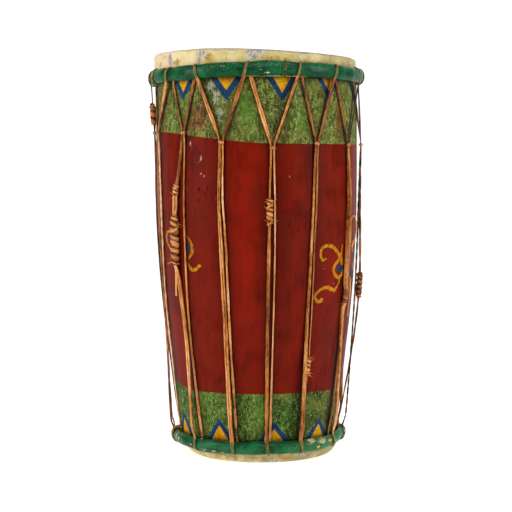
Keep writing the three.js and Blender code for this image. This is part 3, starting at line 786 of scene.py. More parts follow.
@functools.cache
def hideMaterial():
    material, wire = newMaterial("drumHide")
    place, x, y, z = drumPosition(wire)
    patches = place.grain(22, 4, 0.6)
    clouds = place.grain(7, 4, 0.62)
    fibres = place.scaled(1, 1, 0.35).grain(1.6, 4, 0.6)
    fine = place.grain(0.7, 2)
    isLow = 1 - z.smooth(100, 200)
    colour = (patches * 0.6 + clouds * 0.4).smooth(0.36, 0.64).over(rgb(184, 166, 102), rgb(218, 202, 144))
    footShade = patches * 0.5 + clouds * 0.5 - x * 0.0009
    footTone = footShade.smooth(0.36, 0.62).over(rgb(140, 126, 80), rgb(216, 196, 136))
    colour = ((0 - x).smooth(70, 135) * (1 - isLow) * 0.6).over(colour, rgb(232, 206, 172))
    colour = (isLow * 0.9).over(colour, footTone)
    colour = (fibres.smooth(0.52, 0.75) * 0.4).over(colour, rgb(232, 222, 184))
    ochre = (wire.attribute("ochre") + (clouds - 0.5) * 1.5 + (fibres - 0.5) * 0.4).smooth(0.3, 0.8)
    colour = (ochre * 0.85).over(colour, rgb(184, 148, 64))
    colour = (ochre * (clouds - 0.45).smooth(0.0, 0.18) * 0.6).over(colour, rgb(138, 104, 46))
    pale = (wire.attribute("pale") + (clouds - 0.5) * 1.2).smooth(0.45, 0.85)
    colour = (pale * 0.7).over(colour, rgb(218, 216, 186))
    grey = (wire.attribute("grey") + (clouds - 0.5) * 1.4 + (fibres - 0.5) * 0.6).smooth(0.36, 0.58)
    greyShade = (fibres * 0.5 + clouds * 0.5).smooth(0.42, 0.58)
    colour = (grey * 0.9).over(colour, greyShade.over(rgb(112, 104, 104), rgb(190, 186, 182)))
    worn = wire.attribute("face") * patches.smooth(0.4, 0.7)
    colour = (worn * 0.5).over(colour, rgb(176, 146, 98))
    colour = ((clouds * 0.5 + fine * 0.5).smooth(0.6, 0.7) * 0.6).over(colour, rgb(128, 98, 56))
    rimLine = wire.attribute("rimLine") * (0.25 + clouds.smooth(0.4, 0.6) * 0.65)
    colour = rimLine.over(colour, rgb(92, 84, 74))
    curl = wire.attribute("curl").smooth(0.45, 0.75)
    colour = (curl * 0.8).over(colour, rgb(226, 228, 214))
    roughness = 0.5 + (clouds - 0.5) * 0.3
    height = clouds * 0.6 + fibres * 0.35 + fine * 0.12 + curl * 1.2
    fixed = {
        "Specular IOR Level": 0.22, "Subsurface Weight": 0.06, "Subsurface Radius": (0.004, 0.002, 0.001),
    }
    closeMaterial(wire, fixed, colour, roughness, height, 0.5)
    return material


# Hoops

hoopShape = {
    "upper": {
        "centreZ": 570, "halfHeight": 10.7, "middle": 154.9, "inward": 2.5, "outward": 7.1,
        "lacePass": 153.25, "seeds": (5.5, 1.5), "perDegree": 2.75,
    },
    "lower": {
        "centreZ": 23.4, "halfHeight": 9.6, "middle": 124.5, "inward": 5.5, "outward": 7.5,
        "lacePass": 119.9, "seeds": (9.3, 4.3), "perDegree": 2.3,
    },
    "sectionSides": 28, "aroundSteps": 300, "pinch": 0.085, "pinchWidth": 2.2, "footSlim": 0.13,
    "unevenness": [(14, 0.7), (4, 0.35)],
    "lap": {"start": 63.5, "step": 0.5, "fade": 30, "depth": 0.9},
}
hoopMarks = {
    "chip": [
        (5.5, 566.3, 6, 1.8, 1), (2.5, 570, 4, 1.5, 0.7), (14.3, 573, 2, 5, 0.7),
        (-23.4, 571.6, 5, 1.6, 0.6), (-17, 575, 9, 1.2, 0.6), (-29, 574, 3, 4, 0.5), (-4.5, 573, 2, 5, 0.6),
        (45.5, 574, 2, 5, 0.5), (-86, 573, 5, 7, 0.8), (84, 573, 5, 7, 0.5), (37, 32, 9, 6, 1),
        (46, 29, 10, 6, 1), (54, 27, 6, 5, 0.9), (31, 34, 5, 3, 0.8), (42, 21, 7, 2.4, 0.8),
        (62, 24, 6, 4, 0.8), (-38, 17.4, 6, 2, 1), (-30, 17.4, 7, 2, 1), (-24, 16.2, 4, 1.6, 0.9),
        (-66, 26, 4, 5, 0.9), (-71, 29, 4, 6, 1), (-42, 33, 7, 1.4, 0.8), (-33, 34.5, 8, 1.4, 0.8),
        (-50, 23, 4, 3, 0.6), (-80, 24, 7, 6, 1), (-57, 18, 6, 2, 0.7), (24, 24, 3, 2.2, 0.7),
        (-88, 26, 6, 8, 0.9), (-5, 15.5, 5, 1.2, 0.7), (12, 15, 7, 1, 0.6), (120, 25, 14, 5, 0.8),
        (-140, 24, 12, 5, 0.8), (175, 22, 8, 4, 0.8), (130, 572, 16, 4, 0.5), (-160, 570, 10, 5, 0.6),
    ],
    "faded": [
        (-72, 566, 8, 8, 0.9), (-78, 566, 10, 10, 1), (-64, 568, 6, 6, 0.6), (82, 570, 6, 9, 0.9),
        (-20.1, 24, 10, 6, 0.6), (22, 20, 8, 4, 0.6), (-10, 20, 10, 3, 0.5), (34.9, 22, 10, 6, 0.5),
        (-40.1, 26, 14, 5, 0.5), (160, 570, 20, 8, 0.6),
    ],
}


hoopSway = {"left": 2.3, "right": 1.0, "saddle": 2.3, "front": 0.3, "footRight": 6.5, "footLeft": 3}


def hoopTilt(angle, z):  # neither hoop lies level; the lacing goes with them
    turn = np.radians(angle)
    side = np.sin(turn)
    upper = (hoopSway["left"] * np.minimum(side, 0) + hoopSway["right"] * np.maximum(side, 0)
             + hoopSway["saddle"] * np.cos(2 * turn) - hoopSway["front"] * np.cos(turn))
    lower = (hoopSway["footRight"] * np.maximum(side, 0) ** 5
             + hoopSway["footLeft"] * np.maximum(-side, 0) ** 6)
    return upper * np.clip((z - 500) / 60, 0, 1) + lower * np.clip((75 - z) / 42, 0, 1)


def makeHoop(which, name, nodeName, pinches):
    hoop = hoopShape[which]
    deselect()
    centre = (hoop["middle"] * mm, 0, hoop["centreZ"] * mm)
    bpy.ops.mesh.primitive_circle_add(vertices=hoopShape["sectionSides"], radius=1 * mm,
                                      rotation=(math.pi / 2, 0, 0), location=centre)
    obj = bpy.context.object
    bpy.ops.object.transform_apply(location=True, rotation=True, scale=True)
    bpy.ops.object.mode_set(mode="EDIT")
    bpy.ops.mesh.select_mode(type="VERT")
    bpy.ops.mesh.select_all(action="SELECT")
    bpy.ops.transform.resize(value=(hoop["outward"], 1, hoop["halfHeight"]), center_override=centre)
    bpy.ops.mesh.select_all(action="DESELECT")
    grid = bmesh.from_edit_mesh(obj.data)
    for vertex in grid.verts:  # the side towards the drum is pressed flatter
        vertex.select_set(vertex.co.x < (hoop["middle"] - 0.01) * mm)
    bpy.ops.transform.resize(value=(hoop["inward"] / hoop["outward"], 1, 1), center_override=centre)
    bpy.ops.mesh.select_all(action="SELECT")
    bpy.ops.mesh.spin(steps=hoopShape["aroundSteps"], angle=2 * math.pi, center=(0, 0, 0), axis=(0, 0, 1))
    closeNormals()
    bpy.ops.object.mode_set(mode="OBJECT")
    angle, radius, z = drumCoordinates(obj)
    turned = np.radians(angle)
    squeeze = np.zeros(len(z))
    for at in pinches:
        squeeze = np.maximum(squeeze, np.exp(-(wrap(angle - at) / hoopShape["pinchWidth"]) ** 2))
    slack = (1 - hoopShape["pinch"] * squeeze + 0.03 * np.sin(turned * 9 + 1)
             + 0.02 * np.sin(turned * 17 + 0.5))
    if which == "lower":
        slack = slack - hoopShape["footSlim"] * np.sin(turned) ** 6
    radius = hoop["middle"] + (radius - hoop["middle"]) * slack
    z = hoop["centreZ"] + (z - hoop["centreZ"]) * slack + hoopTilt(angle, hoop["centreZ"])
    z = z + 0.5 * np.sin(turned * 4 + 0.8) + 0.3 * np.sin(turned * 11)
    if which == "upper":  # the cane's outer end laps over its other end
        lap = hoopShape["lap"]
        past = wrap(angle - lap["start"])
        over = np.clip(past / lap["step"], 0, 1) * np.clip(1 - past / lap["fade"], 0, 1)
        radius = radius - lap["depth"] * over
    moveVertices(obj, angle, radius, z)
    for (size, strength), seed in zip(hoopShape["unevenness"], hoop["seeds"]):
        swell(obj, size, strength, seed)
    angle, radius, z = drumCoordinates(obj)
    for markName, marks in hoopMarks.items():
        store(obj, markName, blots(angle, z, marks, hoop["perDegree"]))
    store(obj, "pinch", squeeze)
    return settle(obj, name, hoopMaterial(), [nodeName], sharpAngle=70)


@functools.cache
def hoopMaterial():
    material, wire = newMaterial("hoopPaint")
    place, x, y, z = drumPosition(wire)
    patches = place.grain(18, 3)
    specks = place.grain(2.2, 4, 0.65)
    fine = place.grain(0.8, 2)
    green = (patches * 0.6 + specks * 0.4).smooth(0.38, 0.62).over(rgb(3, 52, 27), rgb(6, 92, 48))
    # painted light: the lower hoop is painted lighter towards its right side
    paintedLightToRight = x.smooth(20, 110)
    footGreen = patches.smooth(0.4, 0.6).over(rgb(20, 66, 34), rgb(28, 104, 56))
    footGreen = paintedLightToRight.over(footGreen, rgb(52, 112, 58))
    green = ((1 - z.smooth(100, 200)) * (paintedLightToRight * 0.3 + 0.5)).over(green, footGreen)
    glints = (fine * 0.6 + specks * 0.4 + (z - 570) * 0.006 * z.smooth(300, 400)).smooth(0.58, 0.66)
    green = (glints * 0.6).over(green, rgb(136, 180, 148))
    green = (wire.attribute("faded") * specks.smooth(0.3, 0.6) * 0.6).over(green, rgb(66, 112, 84))
    green = (wire.attribute("pinch") * specks.smooth(0.35, 0.6) * 0.6).over(green, rgb(14, 40, 22))
    green = ((specks * 0.5 + fine * 0.5).smooth(0.6, 0.72) * 0.5).over(green, rgb(6, 38, 22))
    chipField = wire.attribute("chip") + (specks - 0.5) * 2.0 + (fine - 0.5) * 0.8
    rim = chipField.smooth(0.42, 0.52)
    chip = chipField.smooth(0.56, 0.62)
    colour = (rim * 0.85).over(green, rgb(24, 40, 24))
    colour = chip.over(colour, specks.smooth(0.5, 0.7).over(rgb(170, 158, 112), rgb(228, 222, 190)))
    roughness = 0.3 + (patches - 0.5) * 0.16 + rim * 0.3 + wire.attribute("faded") * 0.12
    height = patches * 0.5 + specks * 0.35 + fine * 0.1 - rim * 0.5
    closeMaterial(wire, {"Specular IOR Level": 0.08, "Coat Roughness": 0.14}, colour, roughness, height, 0.55,
                  coat=(1 - rim) * 0.06)
    return material


# Thongs. A strip is swept along stations; each station is a point with its width, thickness, roll in degrees
# and three looks: tone (0 dark, 1 pale), blush (reddish) and paint (green from the hoop).

class Strip:
    def __init__(self):
        self.rows = []  # x, y, z, width, thickness, roll, tone, blush and paint

    def add(self, point, width, thickness, tone, blush=0.0, paint=0.0, roll=0.0):
        self.rows.append([*point, width, thickness, roll, tone, blush, paint])
        return self

    def evened(self, step, passes=3):  # evenly spaced rows with softened corners
        rows = np.array(self.rows)
        gaps = np.linalg.norm(np.diff(rows[:, :3], axis=0), axis=1)
        reach = np.concatenate([[0], np.cumsum(gaps)])
        count = max(int(reach[-1] / step) + 1, 3)
        at = np.linspace(0, reach[-1], count)
        rows = np.stack([np.interp(at, reach, column) for column in rows.T], axis=1)
        for _ in range(passes):
            rows[1:-1] = rows[1:-1] * 0.5 + (rows[:-2] + rows[2:]) * 0.25
        return rows, at


# a folded strip of hide seen end on: flat back, rounded edges and a crease along its front
foldedSection = [
    (-1, -0.1), (-0.9, 0.6), (-0.55, 0.98), (-0.15, 0.84), (0.08, 0.4), (0.3, 0.86), (0.62, 1),
    (0.92, 0.58), (1, -0.1), (0.7, -0.9), (0, -1), (-0.7, -0.9),
]
# shade per section point: painted shade on the edges, back and fold, painted highlight where the value is
# negative
foldedCreaseShade = [1, 0.45, -0.35, 0.2, 1, 0.3, -0.1, 0.6, 1, 1, 1, 1]
strapSection = [
    (-1, -0.1), (-0.72, 0.75), (0, 1), (0.72, 0.75), (1, -0.1), (0.7, -0.9), (0, -1), (-0.7, -0.9),
]
# painted shade on the strap's edges and back, painted highlight on its crown
strapCreaseShade = [1.2, 0.1, -0.4, 0.1, 1.2, 1, 1, 1]
roundSection = [(math.cos(math.radians(45 * i)), math.sin(math.radians(45 * i))) for i in range(8)]
roundCreaseShade = [0.0] * 8


class Sweeper:  # gathers swept strips into one mesh
    def __init__(self):
        self.points = []
        self.faces = []
        self.looks = {look: [] for look in ("along", "across", "crease", "tone", "blush", "paint")}

    def sweep(self, rows, at, section, crease, facing=None):
        centre = rows[:, :3]
        tangent = np.gradient(centre, axis=0)
        tangent /= np.linalg.norm(tangent, axis=1)[:, None]
        if facing is None:
            around = np.stack([-centre[:, 1], centre[:, 0], np.zeros(len(centre))], axis=1)
            around /= np.linalg.norm(around, axis=1)[:, None]
            across = around - tangent * np.sum(around * tangent, axis=1)[:, None]
        else:
            across = np.cross(facing, tangent)
        across /= np.linalg.norm(across, axis=1)[:, None]
        outward = np.cross(across, tangent)
        if facing is None:
            signs = np.sign(np.sum(outward * centre * [1, 1, 0], axis=1))
            side = signs[len(signs) // 2]
        else:
            side = np.sign(np.sum(outward * facing, axis=1))[0]
        outward = outward * (side or 1)
        roll = np.radians(rows[:, 5])[:, None]
        turnedAcross = across * np.cos(roll) + outward * np.sin(roll)
        turnedOutward = outward * np.cos(roll) - across * np.sin(roll)
        first = len(self.points)
        sides = len(section)
        for i in range(len(centre)):
            for (u, v), pointShade in zip(section, crease):
                point = centre[i] + turnedAcross[i] * u * rows[i, 3] / 2
                point = point + turnedOutward[i] * v * rows[i, 4] / 2
                self.points.append(tuple(point * mm))
                looks = (at[i], u * rows[i, 3] / 2, pointShade, *rows[i, 6:9])
                for look, value in zip(self.looks.values(), looks):
                    look.append(value)
        for i in range(len(centre) - 1):
            for k in range(sides):
                a, b = first + i * sides + k, first + i * sides + (k + 1) % sides
                self.faces.append((a, b, b + sides, a + sides))
        self.faces.append(tuple(first + k for k in reversed(range(sides))))
        last = first + (len(centre) - 1) * sides
        self.faces.append(tuple(last + k for k in range(sides)))

    def finished(self, name):
        mesh = bpy.data.meshes.new(name)
        mesh.from_pydata(self.points, [], self.faces)
        obj = bpy.data.objects.new(name, mesh)
        bpy.context.collection.objects.link(obj)
        for look, values in self.looks.items():
            store(obj, look, values)
        select(obj)
        bpy.ops.object.mode_set(mode="EDIT")
        bpy.ops.mesh.select_all(action="SELECT")
        bpy.ops.mesh.normals_make_consistent(inside=False)
        bpy.ops.object.mode_set(mode="OBJECT")
        return obj


lacing = {
    "step": 3.0, "offHoop": 1.85, "bedded": 0.4, "offBody": 1.75, "pairRadius": 155, "bowedPairRadius": 158,
    "halfGap": 0.78, "sidestep": 3.6, "tieHeight": 5, "tieWidth": 2.9, "turnedLoop": 1,
    "heights": [385, 312, 166], "widthHeights": [470, 385, 312, 166, 33],
    "frontTurns": [-60, -20, 20, 60, 90], "shadeReach": 5.2, "narrowReach": 26, "roundStrand": (5, "left"),
    "roundClear": 2.2,
}
pairKeys = ["tie", "tieZ", "loop", "middles", "spreads"]
seenPairs = [dict(zip(pairKeys, row)) for row in [
    (-71.5, 481, -55.3, [-69.8, -71.1, -75.3, -79.4], [2.8, 3.9, 3.7, 4.2]),
    (-43.4, 482, -35.5, [-47.1, -48.6, -46.6, -45.1], [6.3, 8.3, 2.3, 2.4]),
    (-19.1, 468, -6.3, [-19.9, -18.7, -17.8, -16.3], [2.1, 2.9, 2.3, 2.2]),
    (8.4, 460, 21.7, [8.2, 8, 7.1, 6.4], [2.9, 3.3, 3.4, 3.2]),
    (34.1, 466, 45, [33.2, 32.1, 31.4, 29.4], [2, 2, 3.3, 2.4]),
    (60.7, 465, 73, [62.5, 62.3, 61.9, 59.4], [1.9, 2.5, 2.3, 2.3]),
    (88, 466, 100.5, [87.4, 86.6, 82.5, 79], [3.4, 5, 6, 5]),
]]
seenPairs[5]["crossing"] = -4.5
seenPairs[6]["bow"] = {"left": 3, "right": 16}
lastPair = dict(zip(pairKeys, (268, 484, 279, [268.5, 268.5, 267, 265], [3, 4, 4, 3])))
hiddenPairs = 6
# How each strand looks: widths at the tie, at the three heights and at the foot, then tone, blush and
# turns of twist. The arms have one width, tone and blush each.
lookKeys = ["left", "right", "armLeft", "armRight"]
strandLooks = {
    0: [
        ([3.4, 4.8, 4.8, 4.6, 4], 0.46, 0, 0), ([2.8, 2.8, 2.8, 2.8, 2.8], 0.95, 0, 16), (3.4, 0.3, 0.2),
        (5, 0.5, 0),
    ],
    1: [
        ([4.6, 6, 10, 6.2, 4.6], 0.56, 0, 0), ([2.6, 2.6, 2.8, 3.4, 4.6], 0.68, 0, 0), (2.4, 0.5, 0),
        (4.6, 0.45, 0),
    ],
    2: [
        ([4.2, 5, 6, 7, 6.6], 0.48, 0, 0), ([2.8, 2.9, 3.4, 3.6, 4], 0.66, 0, 3), (6, 0.5, 0.15),
        (5.2, 0.44, 0.1),
    ],
    3: [
        ([2.9, 2.9, 4.8, 5.2, 5.4], 0.5, 0, 0), ([2.6, 2.4, 2.3, 2.3, 3.4], 0.66, 0.25, 0), (6, 0.54, 0),
        (3.9, 0.46, 0),
    ],
    4: [
        ([3.4, 3.4, 4.2, 5.6, 6.4], 0.58, 0, 0), ([2.6, 2.6, 2.4, 2.2, 2.4], 0.45, 0.5, 0), (3.9, 0.46, 0),
        (4, 0.32, 0.7),
    ],
    5: [
        ([4.2, 8, 9.4, 5, 4.6], 0.56, 0, 0), ([2.6, 2.6, 2.6, 2.8, 2.8], 0.5, 0.2, 0), (3.6, 0.44, 0),
        (2.8, 0.2, 0),
    ],
    # pair 6's left strand is toned dark (0.12): painted shade
    6: [
        ([4, 3.8, 3, 2.8, 2.8], 0.12, 0, 13), ([4.2, 4.2, 4, 3, 2.6], 0.32, 0.1, 6), (4.2, 0.1, 0.2),
        (3.4, 0.24, 0),
    ],
    13: [
        ([4.2, 4.2, 3.6, 3.4, 3.4], 0.42, 0.1, 4), ([3.2, 3, 3, 3, 3], 0.3, 0.1, 0), (3.2, 0.35, 0),
        (2.2, 0.05, 0),
    ],
}
# Splice knots: pair, strand, top, bottom, half width, half depth, turns of the winding, loose fibres, tone.
knotKeys = ["pair", "side", "top", "bottom", "halfWidth", "halfDepth", "turns", "fibres", "tone"]
knots = [dict(zip(knotKeys, row)) for row in [
    (13, "arm", 527, 497, 5.4, 5, 3.2, 9, 0.3),
    (1, "left", 361, 289, 8.6, 4.8, 7.2, 6, 0.38),
    (3, "left", 387, 351, 4.8, 4, 5.2, 9, 0.4),
    (4, "right", 155, 130, 3.4, 2.9, 4.2, 16, 0.45),
    (5, "left", 252, 232, 4.8, 3.6, 3.2, 10, 0.2),
    (6, "right", 273, 234, 5.2, 5, 5.2, 10, 0.18),
    (8, "left", 332, 302, 4.2, 3.6, 5.2, 6, 0.6),
    (10, "right", 264, 236, 4, 3.4, 4.2, 6, 0.55),
]]
upperKnot = dict(zip(knotKeys, (1, "left", 407, 391, 5, 3.8, 3.2, 5, 0.5)))


def hiddenRow():  # the pairs behind repeat at an even step
    first = seenPairs[-1]
    step = (lastPair["tie"] - first["tie"]) / (hiddenPairs + 1)
    row = []
    for i in range(hiddenPairs):
        tie = first["tie"] + step * (i + 1)
        sway = 1.3 * math.sin(i * 2.1)
        row.append({"tie": tie, "tieZ": 468 + 6 * math.sin(i * 1.7), "loop": tie + step / 2 + sway * 0.6,
                    "middles": [tie - 0.5, tie - 1 + sway * 0.5, tie - 3.4 + sway, tie - 5 + sway],
                    "spreads": [2.6, 3.6, 3.2, 2.8]})
    return row


pairs = seenPairs + hiddenRow() + [lastPair]


def pairLook(index):  # unseen pairs get widths and tones of their own
    if index in strandLooks:
        return dict(zip(lookKeys, strandLooks[index]))
    dice = random.Random(100 + index)
    wide, slim = dice.uniform(4, 6), dice.uniform(2.6, 3.8)
    return {
        "left": ([4, wide, wide, wide, 4.6], dice.uniform(0.5, 0.7), dice.uniform(0, 0.3), 0),
        "right": (
            [3, slim, slim, slim, 3.4], dice.uniform(0.4, 0.75), dice.uniform(0, 0.4),
            dice.choice([0, 3, 14]),
        ),
        "armLeft": (dice.uniform(3.4, 5.6), dice.uniform(0.45, 0.65), 0.1),
        "armRight": (dice.uniform(3.4, 5.6), dice.uniform(0.45, 0.65), 0.1),
    }


def spot(degrees, radius, z):
    turn = math.radians(degrees)
    return np.array([radius * math.sin(turn), -radius * math.cos(turn), z + hoopTilt(degrees, z)])


def mix(first, second, share):
    return first + (second - first) * share


def tieRadius(pair):
    return lacing["bowedPairRadius" if "bow" in pair else "pairRadius"]


# One turn round a hoop: up its front, over it and down behind; flip turns the pass upside down for the
# lower hoop.
def hoopPass(hoop, fromAngle, toAngle, flip):
    offset = lacing["offHoop"] - lacing["bedded"]
    track = []
    for turn in lacing["frontTurns"]:
        tilt = math.radians(turn)
        track.append((hoop["middle"] + (hoop["outward"] + offset) * math.cos(tilt),
                      (hoop["halfHeight"] + offset) * math.sin(tilt)))
    track += [(hoop["lacePass"], hoop["halfHeight"] * 0.55), (hoop["lacePass"], -hoop["halfHeight"] - 2.5)]
    last = len(track) - 1
    return [spot(mix(fromAngle, toAngle, i / last), radius, hoop["centreZ"] + flip * rise)
            for i, (radius, rise) in enumerate(track)]


def topPass(index):
    loop = pairs[index]["loop"]
    if "crossing" in pairs[index]:
        return hoopPass(hoopShape["upper"], loop, loop + pairs[index]["crossing"], 1)
    if index == lacing["turnedLoop"]:
        return hoopPass(hoopShape["upper"], loop + lacing["sidestep"], loop, 1)[::-1]
    return hoopPass(hoopShape["upper"], loop, loop + lacing["sidestep"], 1)


def footPass(index):
    pair = pairs[index]
    half = pair["spreads"][3] / 2
    return hoopPass(hoopShape["lower"], pair["middles"][3] - half, pair["middles"][3] + half, -1)


def strandPoints(index, side, step=12):  # from the tie down to the lower hoop, close enough to bend smoothly
    pair = pairs[index]
    sign = -1 if side == "left" else 1
    lower = hoopShape["lower"]
    footRadius = lower["lacePass"]
    if side == "left":
        footRadius = lower["middle"] + lower["outward"] + lacing["offHoop"]
    start = pair["tieZ"] - lacing["tieHeight"] * 0.7
    end = lower["centreZ"] + lower["halfHeight"]
    heights = [start, *lacing["heights"], end]
    halves = [lacing["halfGap"]] + [spread / 2 for spread in pair["spreads"]]
    angles = [middle + sign * half for middle, half in zip([pair["tie"], *pair["middles"]], halves)]
    own = [knot for knot in knots + [upperKnot] if knot["pair"] == index and knot["side"] == side]
    stops = {start, *lacing["heights"]} | {knot[key] for knot in own for key in ("top", "bottom")}
    z = start - step
    while z > end + step:
        if all(abs(z - stop) > step / 3 for stop in stops):
            stops.add(z)
        z -= step
    points = []
    for z in sorted(stops, reverse=True):
        down = (start - z) / (start - end)
        bowed = 0
        if "bow" in pair:  # less of it near the tie
            bowed = pair["bow"][side] * math.sin(math.pi * down) * min(0.4 + 1.23 * down, 1)
        straight = mix(tieRadius(pair), footRadius, down) + bowed
        within = [knot for knot in own if knot["bottom"] - 1 <= z <= knot["top"] + 1]
        clear = within[0]["halfDepth"] + 0.6 if within else lacing["offBody"]
        if (index, side) == lacing["roundStrand"] and z > lacing["heights"][1] - 70:
            clear += lacing["roundClear"]
        degrees = float(np.interp(-z, [-height for height in heights], angles))
        points.append((z, spot(degrees, max(straight, bodyRadius(z) + clear), z)))
    return points


def paintedStrandShade(angle, z):  # painted shade: soft dark bands on the body along every strand, and painted shadow under the upper hoop and above the lower one
    field = np.zeros(len(z))
    reach = lacing["shadeReach"]
    for index, pair in enumerate(pairs):
        tieEnds = [pair["tie"] - lacing["halfGap"], pair["tie"] + lacing["halfGap"]]
        lines = []
        for end, hoopEnd in zip(tieEnds, (topPass(index - 1)[-1], topPass(index)[0])):
            away = wrap(math.degrees(math.atan2(hoopEnd[0], -hoopEnd[1])) - end)
            lines.append(([pair["tieZ"], hoopEnd[2]], [end, end + away]))
        for sign, end in zip((-1, 1), tieEnds):
            halves = [spread / 2 for spread in pair["spreads"]]
            angles = [middle + sign * half for middle, half in zip(pair["middles"], halves)]
            lines.append(([33, *lacing["heights"][::-1], pair["tieZ"]], [*angles[::-1], end]))
        for heights, degrees in lines:
            across = np.abs(wrap(angle - np.interp(z, heights, degrees))) * 2.6
            within = (z > heights[0]) & (z < heights[-1])
            shadow = np.maximum(np.exp(-(across / reach) ** 2), 0.4 * np.exp(-(across / reach / 2.6) ** 2))
            field = np.where(within, np.maximum(field, shadow), field)
    # painted shadow under the upper hoop and above the lower one
    upper, lower = hoopShape["upper"], hoopShape["lower"]
    underHoop = (z - upper["centreZ"] + upper["halfHeight"] - hoopTilt(angle, z)) / 9 + 1
    aboveHoop = 1 - (z - lower["centreZ"] - lower["halfHeight"]) / 6
    return np.maximum(field, np.clip(np.maximum(underHoop, aboveHoop), 0, 1) ** 2 * 0.95)


def addStrand(strip, index, side, upward):
    widths, tone, blush, turns = pairLook(index)[side]
    dice = random.Random(index * 7 + (side == "left"))
    phase = dice.uniform(0, 6)
    points = strandPoints(index, side)
    total = points[0][0] - points[-1][0]
    rows = []
    for z, point in points:
        width = float(np.interp(-z, [-height for height in lacing["widthHeights"]], widths))
        width *= 1 + 0.06 * math.sin(z * 0.09 + phase)
        if turns:
            roll = 360 * turns * (points[0][0] - z) / total
        else:
            roll = 16 * math.sin(z * 0.021 + phase) + 9 * math.sin(z * 0.057 + phase * 2)
        narrow = min(max((points[0][0] - z) / lacing["narrowReach"], 0), 1)
        width = mix(min(width, lacing["tieWidth"]), width, narrow)
        thickness = min(width * 0.66, 2.2 + width * 0.16)
        if (index, side) == lacing["roundStrand"]:
            thickness = width * 0.78
        shade = tone + 0.1 * math.sin(z * 0.03 + phase * 3) + 0.06 * math.sin(z * 0.11 + phase)
        rows.append((point, width, thickness, shade, blush, 0.0, roll))
    for row in (rows[::-1] if upward else rows):
        strip.append(row)


def lacingRoute():  # the whole lacing in order; a knot stands between two stations
    route = []
    for index, pair in enumerate(pairs):
        look = pairLook(index)
        before = (index - 1) % len(pairs)
        radius = tieRadius(pair)
        above = pair["tieZ"] + lacing["tieHeight"] * 0.7
        leftTie = spot(pair["tie"] - lacing["halfGap"], radius, above)
        rightTie = spot(pair["tie"] + lacing["halfGap"], radius, above)
        arrival, leaving = topPass(before)[-1], topPass(index)[0]
        width, tone, blush = look["armLeft"]
        route += armRow(leftTie, arrival, width, tone, blush)[::-1]
        addKnotted(route, index, "left", False)
        foot = footPass(index)
        footWidth, footTone = look["left"][0][-1], look["left"][1]
        for i, point in enumerate(foot):
            painted = [0.35, 0.8, 0.9, 0.8, 0.5, 0.2, 0][i]
            route.append((point, mix(footWidth, 3.8, min(i / 3, 1)), 1.9, footTone, 0, painted, 0))
        addKnotted(route, index, "right", True)
        width, tone, blush = look["armRight"]
        knot = next((one for one in knots if one["pair"] == index and one["side"] == "arm"), None)
        if knot:
            arm = leaving - rightTie
            low, high = (rightTie + arm * (knot[key] - rightTie[2]) / arm[2] for key in ("bottom", "top"))
            route += [(rightTie, 3.6, 2.2, tone, blush, 0, 0), (low, width, 2, tone, blush, 0, 0)]
            route += [{"knot": knot, "from": low, "to": high}, (high, width, 1.6, tone, blush, 0, 0)]
        else:
            route += armRow(rightTie, leaving, width, tone, blush)
        over = topPass(index)
        for i, point in enumerate(over):
            painted = [0.5, 0.75, 0.7, 0.6, 0.4, 0.1, 0][i if index != lacing["turnedLoop"] else 6 - i]
            route.append((point, min(width, 4.4), 1.9, tone + 0.1, blush * 0.5, painted, 0))
    return route


def armRow(start, end, width, tone, blush):
    rows = []
    count = 8
    for i in range(count + 1):
        share = i / count
        point = start + (end - start) * share
        radius = math.hypot(point[0], point[1])
        room = max(radius, bodyRadius(point[2]) + lacing["offBody"] + 0.3) / radius
        point = point * [room, room, 1]
        across = mix(min(width, 2.7), width, min(share / 0.32, 1))  # slim where the tie holds it
        across *= 1 + 0.08 * math.sin(share * 9 + width * 5)
        shade = tone + 0.1 * math.sin(share * 7 + width * 3) - 0.08 * max(1 - share / 0.2, 0)
        roll = 14 * math.sin(share * 5 + width * 9)
        rows.append((point, across, min(across * 0.62, 2.4), shade, blush, 0.0, roll))
    return rows


def addKnotted(route, index, side, upward):
    rows = []
    addStrand(rows, index, side, upward)
    knot = next((one for one in knots if one["pair"] == index and one["side"] == side), None)
    if knot is None:
        route += rows
        return
    heights = [row[0][2] for row in rows]
    top = min(range(len(rows)), key=lambda i: abs(heights[i] - knot["top"]))
    bottom = min(range(len(rows)), key=lambda i: abs(heights[i] - knot["bottom"]))
    first, second = min(top, bottom), max(top, bottom)
    route += rows[:first + 1]
    route.append({"knot": knot, "from": rows[first][0], "to": rows[second][0]})
    route += rows[second:]


winding = {"cover": 0.76, "thickness": 1.5, "stepsPerTurn": 14}


